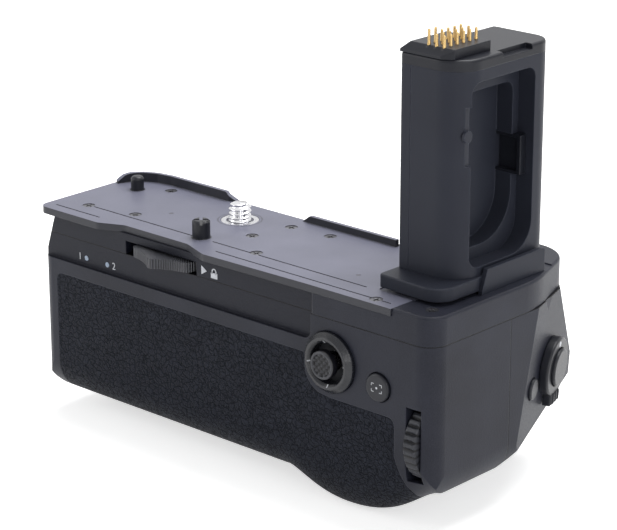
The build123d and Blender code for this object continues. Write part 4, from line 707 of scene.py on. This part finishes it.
# %% All pins from one pair of profiles
barrel_z = pin_low[2] + BARREL[:, 0] * (BARREL_TOP - pin_low[2])
plunger_z = BARREL_TOP + PLUNGER[:, 0] * (pin_tops[:, None] - BARREL_TOP)
pin_z = np.hstack([np.tile(barrel_z, (len(pin_x), 1)), plunger_z])
pin_reach = np.concatenate([BARREL[:, 1], PLUNGER[:, 1]])[:, None]
pin_turn = full_turn(PIN_SIDES)
pins = np.empty((*pin_z.shape, PIN_SIDES, 3))
pins[..., 0] = pin_x[:, None, None] + pin_reach * np.cos(pin_turn)
pins[..., 1] = pin_y[:, None, None] + pin_reach * np.sin(pin_turn)
pins[..., 2] = pin_z[..., None]
one_pin = grid_faces(len(pin_reach), PIN_SIDES)
pin_points, pin_faces = merged([capped(pin.reshape(-1, 3), one_pin, PIN_SIDES) for pin in pins])
pin_piece = piece_from("spring_contacts", pin_points, pin_faces, "contact_pins", gold_plate)
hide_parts("contact_pins")
print("pins have", len(pin_faces), "faces")

# %% [markdown]
# ### Joystick cap
# The thumb rests on a small cap whose face is cut into a lattice of points inside a smooth rim. A texture
# could fake it, but the points catch the light at the outline too. The face is a height over the disc:
# the sum of two cosines along the two diagonals, that fades out at the rim.

# %% Joystick cap with its lattice
SLEEVE_RADIUS = 1.5
CAP_SIDE = [(2.4, 1.65), (2.4, 3.75), (2.2, 3.9), (0.5, 3.9), (0.22, 3.82), (0.06, 3.66), (0.0, 3.48),
            (0.0, 3.2)]
FIELD_RADIUS, FIELD_CENTRE, FIELD_RINGS, CAP_COLUMNS = 3.12, 0.04, 52, 160
FIELD_RIM, RIM_FADE, FIELD_SUNK = 3.14, 0.12, 0.05
POINT_PITCH, POINT_DEPTH = 1.25, 0.62
cap_low, cap_high = box_of("stick_cap")
cap_x, _, cap_z = (cap_low + cap_high) / 2
front_y = cap_low[1]
cap_rings = [(cap_high[1] - front_y, SLEEVE_RADIUS)] + CAP_SIDE
cap_rings += [(0.0, radius) for radius in np.linspace(FIELD_RADIUS, FIELD_CENTRE, FIELD_RINGS)]
behind, cap_reach = np.array(cap_rings).T
reach, around = np.meshgrid(cap_reach, full_turn(CAP_COLUMNS), indexing="ij")
cap_aside, cap_above = reach * np.cos(around), reach * np.sin(around)
slant_up, slant_down = (cap_aside + cap_above) / math.sqrt(2), (cap_aside - cap_above) / math.sqrt(2)
wave = (2 - np.cos(2 * np.pi * slant_up / POINT_PITCH) - np.cos(2 * np.pi * slant_down / POINT_PITCH)) / 4
inside = np.clip((FIELD_RIM - reach) / RIM_FADE, 0, 1)
cap_y = front_y + behind[:, None] + inside * (FIELD_SUNK + POINT_DEPTH * wave)
print("lattice", round(2 * FIELD_RADIUS / POINT_PITCH, 1), "points across")

# %% The cap as one piece
cap_points = np.stack([cap_x + cap_aside, cap_y, cap_z + cap_above], axis=-1).reshape(-1, 3)
cap_points, cap_faces = capped(cap_points, grid_faces(*reach.shape), CAP_COLUMNS)
cap_piece = piece_from("joystick_cap", cap_points, cap_faces, "stick_cap", cap_lit_tips_shaded_pits)
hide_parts("stick_cap")
print("cap has", len(cap_faces), "faces")

# %% [markdown]
# ### Printed marks
# A grip has small white marks: the two charge lights are numbered, an arrow and a padlock show which way
# the wheel locks, four ticks stand round the joystick, and a dot shows where the shutter lever rests.
# Printing could be an image on the surface, but thin plates of paint keep a crisp edge at any size. Each
# mark is drawn flat in millimetres and laid on the surface that a ray finds.

# %% Finding the surface and laying a mark on it
RAY_REACH = 200


def touch(node_name, start, direction):
    """The point in millimetres where a ray first meets a solid, worked out on the solid's own triangles."""
    mesh = nodes[node_name].data
    tree = BVHTree.FromPolygons([vertex.co for vertex in mesh.vertices],
                                [tuple(face.vertices) for face in mesh.polygons])
    found = tree.ray_cast(Vector(start) * MM, Vector(direction).normalized(), RAY_REACH * MM)[0]
    return np.array(found) / MM


def frame_at(point, out):
    """A flat frame at a point: right, up and out, with up as near the vertical as the surface allows."""
    out = np.array(out, float) / np.linalg.norm(out)
    upward = np.array((0, 0, 1.0)) - out * out[2]
    upward /= np.linalg.norm(upward)
    return np.array(point, float), np.cross(upward, out), upward, out


def laid(flat, seat):
    """Carries points (right, up, out) into the frame at a seat."""
    point, rightward, upward, out = seat
    return point + flat[:, :1] * rightward + flat[:, 1:2] * upward + flat[:, 2:3] * out


print("rays and seats ready")

# %% [markdown]
# A mark is made of two kinds of shape: a stroke, which is a bar of paint along a line, and a plate, which
# is a filled outline. The numbers are Blender's own type. Curves with a bevel would draw strokes too, but
# a bar worked out as points joins the rest of a mark in one mesh.

# %% Strokes and plates
PAINT = 0.03


def stroke(path, width):
    """A bar of paint along a flat path: a rectangle of width by twice PAINT is carried along it."""
    path = np.array(path, float)
    heading = np.gradient(path, axis=0)
    heading /= np.linalg.norm(heading, axis=1)[:, None]
    across_path = np.stack([-heading[:, 1], heading[:, 0]], axis=1)
    corners = [(-0.5, -PAINT), (0.5, -PAINT), (0.5, PAINT), (-0.5, PAINT)]
    rings = [np.column_stack([path + across_path * width * part, np.full(len(path), high)])
             for part, high in corners]
    points = np.stack(rings, axis=1).reshape(-1, 3)
    faces = list(grid_faces(len(path), len(corners))[:, ::-1])
    start_face = np.arange(len(corners))
    return points, faces + [start_face, start_face[::-1] + len(points) - len(corners)]


def plate(outline):
    """A flat plate of paint: the outline's two copies, joined by a wall."""
    outline = np.array(outline, float)
    count = len(outline)
    points = np.vstack([np.column_stack([outline, np.full(count, high)]) for high in (-PAINT, PAINT)])
    ring = np.arange(count)
    wall = np.stack([ring, (ring + 1) % count, (ring + 1) % count + count, ring + count], axis=1)
    return points, [ring[::-1], ring + count] + list(wall)


print("paint stands", PAINT, "mm proud")


# %% Marks and numbers
def paint_mark(name, shapes, seat, body):
    """Lays flat shapes at a seat and joins them into one piece that rides on a body."""
    points, faces = merged([(laid(flat, seat), own) for flat, own in shapes])
    return piece_from(name, points, faces, body, mark_paint, smooth=False)


def numeral(name, text, size, seat, body):
    """A numeral in Blender's own type, made a mesh and then laid at a seat."""
    letters = bpy.data.curves.new(name, "FONT")
    letters.body, letters.size, letters.extrude = text, size, PAINT
    letters.align_x, letters.align_y = "CENTER", "CENTER"
    written = bpy.data.objects.new(name, letters)
    scene.collection.objects.link(written)
    bpy.context.view_layer.update()
    mesh = bpy.data.meshes.new_from_object(written.evaluated_get(bpy.context.evaluated_depsgraph_get()))
    flat = np.empty(len(mesh.vertices) * 3)
    mesh.vertices.foreach_get("co", flat)
    mesh.vertices.foreach_set("co", (laid(flat.reshape(-1, 3), seat) * MM).ravel())
    bpy.data.objects.remove(written)
    mesh.materials.clear()
    return added(name, mesh, body, mark_paint)


print("marks and numbers can be laid")

# %% Numbers beside the charge lights
REARWARD, FRONTWARD = (0, -1, 0), (0, 1, 0)
BEHIND_ALL = -60
LIGHTS_NEAR = (-36, BEHIND_ALL, -12.6)
NUMBER_SIZE, NUMBER_X, NUMBER_Z = 2.9, (-37.9, -24.1), -12.9
light_row = touch("rear_housing", LIGHTS_NEAR, FRONTWARD)
for order, number_x in enumerate(NUMBER_X, start=1):
    seat = frame_at((number_x, light_row[1], NUMBER_Z), REARWARD)
    numeral(f"light_number_{order}", str(order), NUMBER_SIZE, seat, "grip")
print("lights' face at y", light_row[1].round(2))

# %% Arrow and padlock beside the wheel
ARROW = [(10.4, -7.1), (12.5, -5.8), (10.4, -4.5)]
PADLOCK = [(14.0, -7.3), (16.4, -7.3), (16.4, -5.75), (14.0, -5.75)]
SHACKLE_CENTRE, SHACKLE_RADIUS, SHACKLE_FOOT, SHACKLE_WIDE = (15.2, -5.35), 0.72, -6.0, 0.34
LOCK_NEAR, BOW_POINTS = (14.0, BEHIND_ALL, -5.8), 13
lock_spot = touch("upper_housing", LOCK_NEAR, FRONTWARD)
half_turn = np.linspace(0, np.pi, BOW_POINTS)
bow = np.column_stack([SHACKLE_CENTRE[0] + SHACKLE_RADIUS * np.cos(half_turn),
                       SHACKLE_CENTRE[1] + SHACKLE_RADIUS * np.sin(half_turn)])
shackle = np.vstack([(SHACKLE_CENTRE[0] + SHACKLE_RADIUS, SHACKLE_FOOT), bow,
                     (SHACKLE_CENTRE[0] - SHACKLE_RADIUS, SHACKLE_FOOT)])
paint_mark("lock_marks", [plate(ARROW), plate(PADLOCK), stroke(shackle, SHACKLE_WIDE)],
           frame_at((0, lock_spot[1], 0), REARWARD), "grip")
print("lock marks' face at y", lock_spot[1].round(2))

# %% Frame mark on the focus button
FRAME_HALF_WIDE, FRAME_HALF_HIGH = 1.7, 1.1
CORNER_END_X, CORNER_END_Z, CORNER_WIDE = 0.9, 0.45, 0.2
FOCUS_NEAR, FOCUS_DOT, CIRCLE_SIDES = (75.0, BEHIND_ALL, -22.3), 0.32, 20
focus_spot = touch("focus_button", FOCUS_NEAR, FRONTWARD)
frame_corners = [stroke([(side * CORNER_END_X, rise * FRAME_HALF_HIGH),
                         (side * FRAME_HALF_WIDE, rise * FRAME_HALF_HIGH),
                         (side * FRAME_HALF_WIDE, rise * CORNER_END_Z)], CORNER_WIDE)
                 for side in (-1, 1) for rise in (-1, 1)]
circle = np.column_stack([np.cos(full_turn(CIRCLE_SIDES)), np.sin(full_turn(CIRCLE_SIDES))])
paint_mark("focus_mark", frame_corners + [plate(circle * FOCUS_DOT)], frame_at(focus_spot, REARWARD),
           "focus_button")
print("focus mark at", focus_spot.round(2))

# %% [markdown]
# The ticks round the joystick stand on the sloping inner face of its ring, so no flat seat fits them.
# They could be bars turned by eye. Here each is a thin block along a line that runs inwards and down the
# slope, a quarter turn from the last.

# %% Ticks round the joystick
TICKS, TICK_START, TICK_HALF, TICK_LIFT = 4, 0.1, 0.17, 0.02
TICK_OUTER, TICK_INNER, TICK_DROP = 6.35, 5.68, 0.65
BLOCK_FACES = np.array([(0, 1, 3, 2), (4, 6, 7, 5), (0, 2, 6, 4), (1, 5, 7, 3), (0, 4, 5, 1), (2, 3, 7, 6)])
ring_low, ring_high = box_of("stick_ring")
ring_x, _, ring_z = (ring_low + ring_high) / 2
tick_line = [(TICK_OUTER, ring_low[1] - PAINT), (TICK_INNER, ring_low[1] + TICK_DROP)]
ticks = []
for heading in TICK_START + np.arange(TICKS) * np.pi / 2:
    outward = np.array((np.cos(heading), 0, np.sin(heading)))
    sideways = np.array((-np.sin(heading), 0, np.cos(heading)))
    lift = TICK_LIFT * (REARWARD - outward)
    block = [outward * far + np.array((0, deep, 0)) + sideways * TICK_HALF * part + lift * high
             for high in (0, 2) for part in (-1, 1) for far, deep in tick_line]
    ticks.append((np.array(block) + (ring_x, 0, ring_z), BLOCK_FACES))
tick_points, tick_faces = merged(ticks)
piece_from("joystick_ticks", tick_points, tick_faces, "grip", mark_paint, smooth=False)
print(len(ticks), "ticks between radius", TICK_INNER, "and", TICK_OUTER)

# %% [markdown]
# The shutter lever sits on a shoulder that faces outwards, turned and tipped from the end of the body.
# Two of its directions are worked out from these angles, and rays against its facing find the lever and
# the body.

# %% Dots of the shutter lever
SHOULDER_TURN, SHOULDER_TIP = math.radians(18.0), math.radians(4.0)
SHOULDER_CORNER, LEVER_ALONG, LEVER_UP = (92.6, 12.4, -25.0), 17.2, -4.0
BODY_DOT_NEAR = (88.0, 27.0, -22.6)
LEVER_DOT_UP, LEVER_DOT, BODY_DOT = 6.5, 0.8, 0.75
WELL_OUT = 30
shoulder_out = np.array((math.cos(SHOULDER_TURN) * math.cos(SHOULDER_TIP),
                         math.sin(SHOULDER_TURN) * math.cos(SHOULDER_TIP), -math.sin(SHOULDER_TIP)))
shoulder_side = np.array((-math.sin(SHOULDER_TURN), math.cos(SHOULDER_TURN), 0))
shoulder_up = np.cross(shoulder_out, shoulder_side)
lever_axis = np.array(SHOULDER_CORNER) + shoulder_side * LEVER_ALONG + shoulder_up * LEVER_UP
lever_dot = touch("shutter_lever", lever_axis + shoulder_up * LEVER_DOT_UP + shoulder_out * WELL_OUT,
                  -shoulder_out)
paint_mark("lever_dot", [plate(circle * LEVER_DOT)], frame_at(lever_dot, shoulder_out), "shutter_lever")
body_dot = touch("front_housing", np.array(BODY_DOT_NEAR) + shoulder_out * WELL_OUT, -shoulder_out)
paint_mark("body_dot", [plate(circle * BODY_DOT)], frame_at(body_dot, shoulder_out), "grip")
print("dots at", lever_dot.round(1), body_dot.round(1))

# %% [markdown]
# ### Ribs on the lever's tab
# Three rounded ribs keep the finger from slipping. Cutting them into the solid would cost it dozens of
# faces for a detail half a millimetre high. Each is half an ellipse carried down the tab's face instead,
# and its height falls off steeply at both ends.

# %% Ribs of the lever's tab
TAB_RIB_WIDE, TAB_RIB_HIGH, TAB_RIB_LONG, TAB_RIB_SUNK = 1.1, 0.5, 3.4, 0.05
TAB_RIB_SQUARENESS, TAB_RIB_LEAST = 6, 0.02
TAB_RIB_PLACES, TAB_UP = (-1.9, 0.0, 1.9), -8.6
RIB_GRID = 9
tab_face = touch("shutter_lever", lever_axis + shoulder_up * TAB_UP + shoulder_out * WELL_OUT, -shoulder_out)
over, down = np.meshgrid(np.linspace(0, np.pi, RIB_GRID), np.linspace(0, 1, RIB_GRID), indexing="ij")
swell = np.sqrt(np.clip(1 - (2 * down - 1) ** TAB_RIB_SQUARENESS, TAB_RIB_LEAST, 1))
rib_flat = np.stack([TAB_RIB_WIDE / 2 * np.cos(over), TAB_RIB_LONG * (down - 0.5),
                     TAB_RIB_HIGH * np.sin(over) * swell - TAB_RIB_SUNK], axis=-1).reshape(-1, 3)
rib_last, rib_count = RIB_GRID - 1, RIB_GRID ** 2
rib_floor = np.array([0, rib_last, rib_count - 1, rib_count - RIB_GRID])
rib_ends = [np.arange(0, rib_count, RIB_GRID), np.arange(rib_last, rib_count, RIB_GRID)[::-1]]
rib_faces = list(grid_faces(RIB_GRID, RIB_GRID, wrap=False)) + [rib_floor[::-1]] + rib_ends
tab_seat = frame_at(tab_face, shoulder_out)
rib_points, rib_faces = merged([(laid(rib_flat + (shift, 0, 0), tab_seat), rib_faces)
                                for shift in TAB_RIB_PLACES])
piece_from("lever_ribs", rib_points, rib_faces, "shutter_lever", control_plastic)
print("ribs at", tab_face.round(1))

# %% [markdown]
# ## Light
# A catalogue photograph is lit by large soft boxes, here mostly from above and behind, so that the deck
# is bright and the rear face stays dark. Spot lamps would do with less, but they leave hard shadows. A
# narrow strip adds the gleam that runs down the corner beside the rear dial.

# %% Lamps
LIT_POINT = (0.03, 0.0, -0.01)
LAMPS = {"top_box": ((0.0, 0.25, 0.70), (0.7, 0.5), 7.5),
         "left_box": ((-0.55, -0.55, 0.30), (0.4, 0.6), 1.9),
         "right_box": ((0.80, -0.15, 0.25), (0.3, 0.5), 1.5),
         "corner_strip": ((0.62, -0.52, 0.30), (0.10, 0.55), 1.0)}


def softbox(name, place, size, power):
    """A rectangular lamp of size metres and power watts that faces the lit point."""
    data = bpy.data.lights.new(name, "AREA")
    data.shape = "RECTANGLE"
    data.size, data.size_y = size
    data.energy = power
    lamp = bpy.data.objects.new(name, data)
    scene.collection.objects.link(lamp)
    back = np.array(place, float) - np.array(LIT_POINT, float)
    back /= np.linalg.norm(back)
    beside = np.cross((0, 0, 1), back)
    beside /= np.linalg.norm(beside)
    lamp.matrix_world = standing(beside, np.cross(back, beside), back, place)


for name, (place, size, power) in LAMPS.items():
    softbox(name, place, size, power)
print(len(LAMPS), "lamps")

# %% [markdown]
# ## White surroundings
# The white round the object could come from more light, but that would wash out the pale faces. Instead
# the world is white to the camera, to reflections and through clear pieces, and dim as a source of light.

# %% World
WORLD_LEVEL = 0.20
WHITE = (1, 1, 1, 1)


def looking_rays(tree):
    """1 for rays of the camera, of reflections and through clear pieces, and 0 for rays that gather light."""
    path = tree.nodes.new("ShaderNodeLightPath")
    seen = reckon(tree, "MAXIMUM", path.outputs["Is Camera Ray"], path.outputs["Is Glossy Ray"])
    return reckon(tree, "MAXIMUM", seen, path.outputs["Is Transmission Ray"])


world = bpy.data.worlds.new("studio")
world.use_nodes = True
scene.world = world
sky = world.node_tree
dim, bright = sky.nodes["Background"], sky.nodes.new("ShaderNodeBackground")
for background, strength in ((dim, WORLD_LEVEL), (bright, 1.0)):
    background.inputs["Color"].default_value = WHITE
    background.inputs["Strength"].default_value = strength
either = sky.nodes.new("ShaderNodeMixShader")
sky.links.new(looking_rays(sky), either.inputs["Fac"])
sky.links.new(dim.outputs["Background"], either.inputs[1])
sky.links.new(bright.outputs["Background"], either.inputs[2])
sky.links.new(either.outputs["Shader"], sky.nodes["World Output"].inputs["Surface"])
print("world at", WORLD_LEVEL)

# %% [markdown]
# The floor has to keep the object's shadow and still fade into the white round it. A shadow catcher would
# need a compositor. Here a pale matt floor also glows a little to the camera: enough under the object to
# look white where it is lit, and more with distance, where less light of the lamps falls on it.

# %% Floor
FLOOR_HALF = 3.0
FLOOR_DARK, FLOOR_LIGHT, FLOOR_WAVES = (0.90, 0.90, 0.90), (0.92, 0.92, 0.92), 2.0
FLOOR_ROUGH = 0.9
GLOW_NEAR, GLOW_FAR, GLOW_START, GLOW_END = 0.62, 1.0, 0.25, 1.1
floor_z = float(solid_box[0][2])
floor_mesh = bpy.data.meshes.new("floor")
floor_corners = [(x * FLOOR_HALF, y * FLOOR_HALF, floor_z) for x, y in ((-1, -1), (1, -1), (1, 1), (-1, 1))]
floor_mesh.from_pydata(floor_corners, [], [(0, 1, 2, 3)])
floor = bpy.data.objects.new("floor", floor_mesh)
scene.collection.objects.link(floor)
floor_paint, floor_tree, floor_shader, floor_place = new_material("floor_white")
floor_tone = tint(floor_tree, noise(floor_tree, floor_place, FLOOR_WAVES), FLOOR_DARK, FLOOR_LIGHT)
floor_tree.links.new(floor_tone, floor_shader.inputs["Base Color"])
floor_shader.inputs["Roughness"].default_value = FLOOR_ROUGH
floor_shader.inputs["Specular IOR Level"].default_value = 0.0
glow = floor_tree.nodes.new("ShaderNodeEmission")
glow.inputs["Color"].default_value = WHITE
far_out = ramp(floor_tree, distance_from(floor_tree, floor_place, (0, 0, floor_z)), GLOW_NEAR, GLOW_FAR,
               GLOW_START, GLOW_END)
glow_level = reckon(floor_tree, "MULTIPLY", looking_rays(floor_tree), far_out)
floor_tree.links.new(glow_level, glow.inputs["Strength"])
both = floor_tree.nodes.new("ShaderNodeAddShader")
floor_tree.links.new(floor_shader.outputs["BSDF"], both.inputs[0])
floor_tree.links.new(glow.outputs["Emission"], both.inputs[1])
floor_tree.links.new(both.outputs["Shader"], floor_tree.nodes["Material Output"].inputs["Surface"])
floor_mesh.materials.append(floor_paint)
print("floor at", round(floor_z, 4))
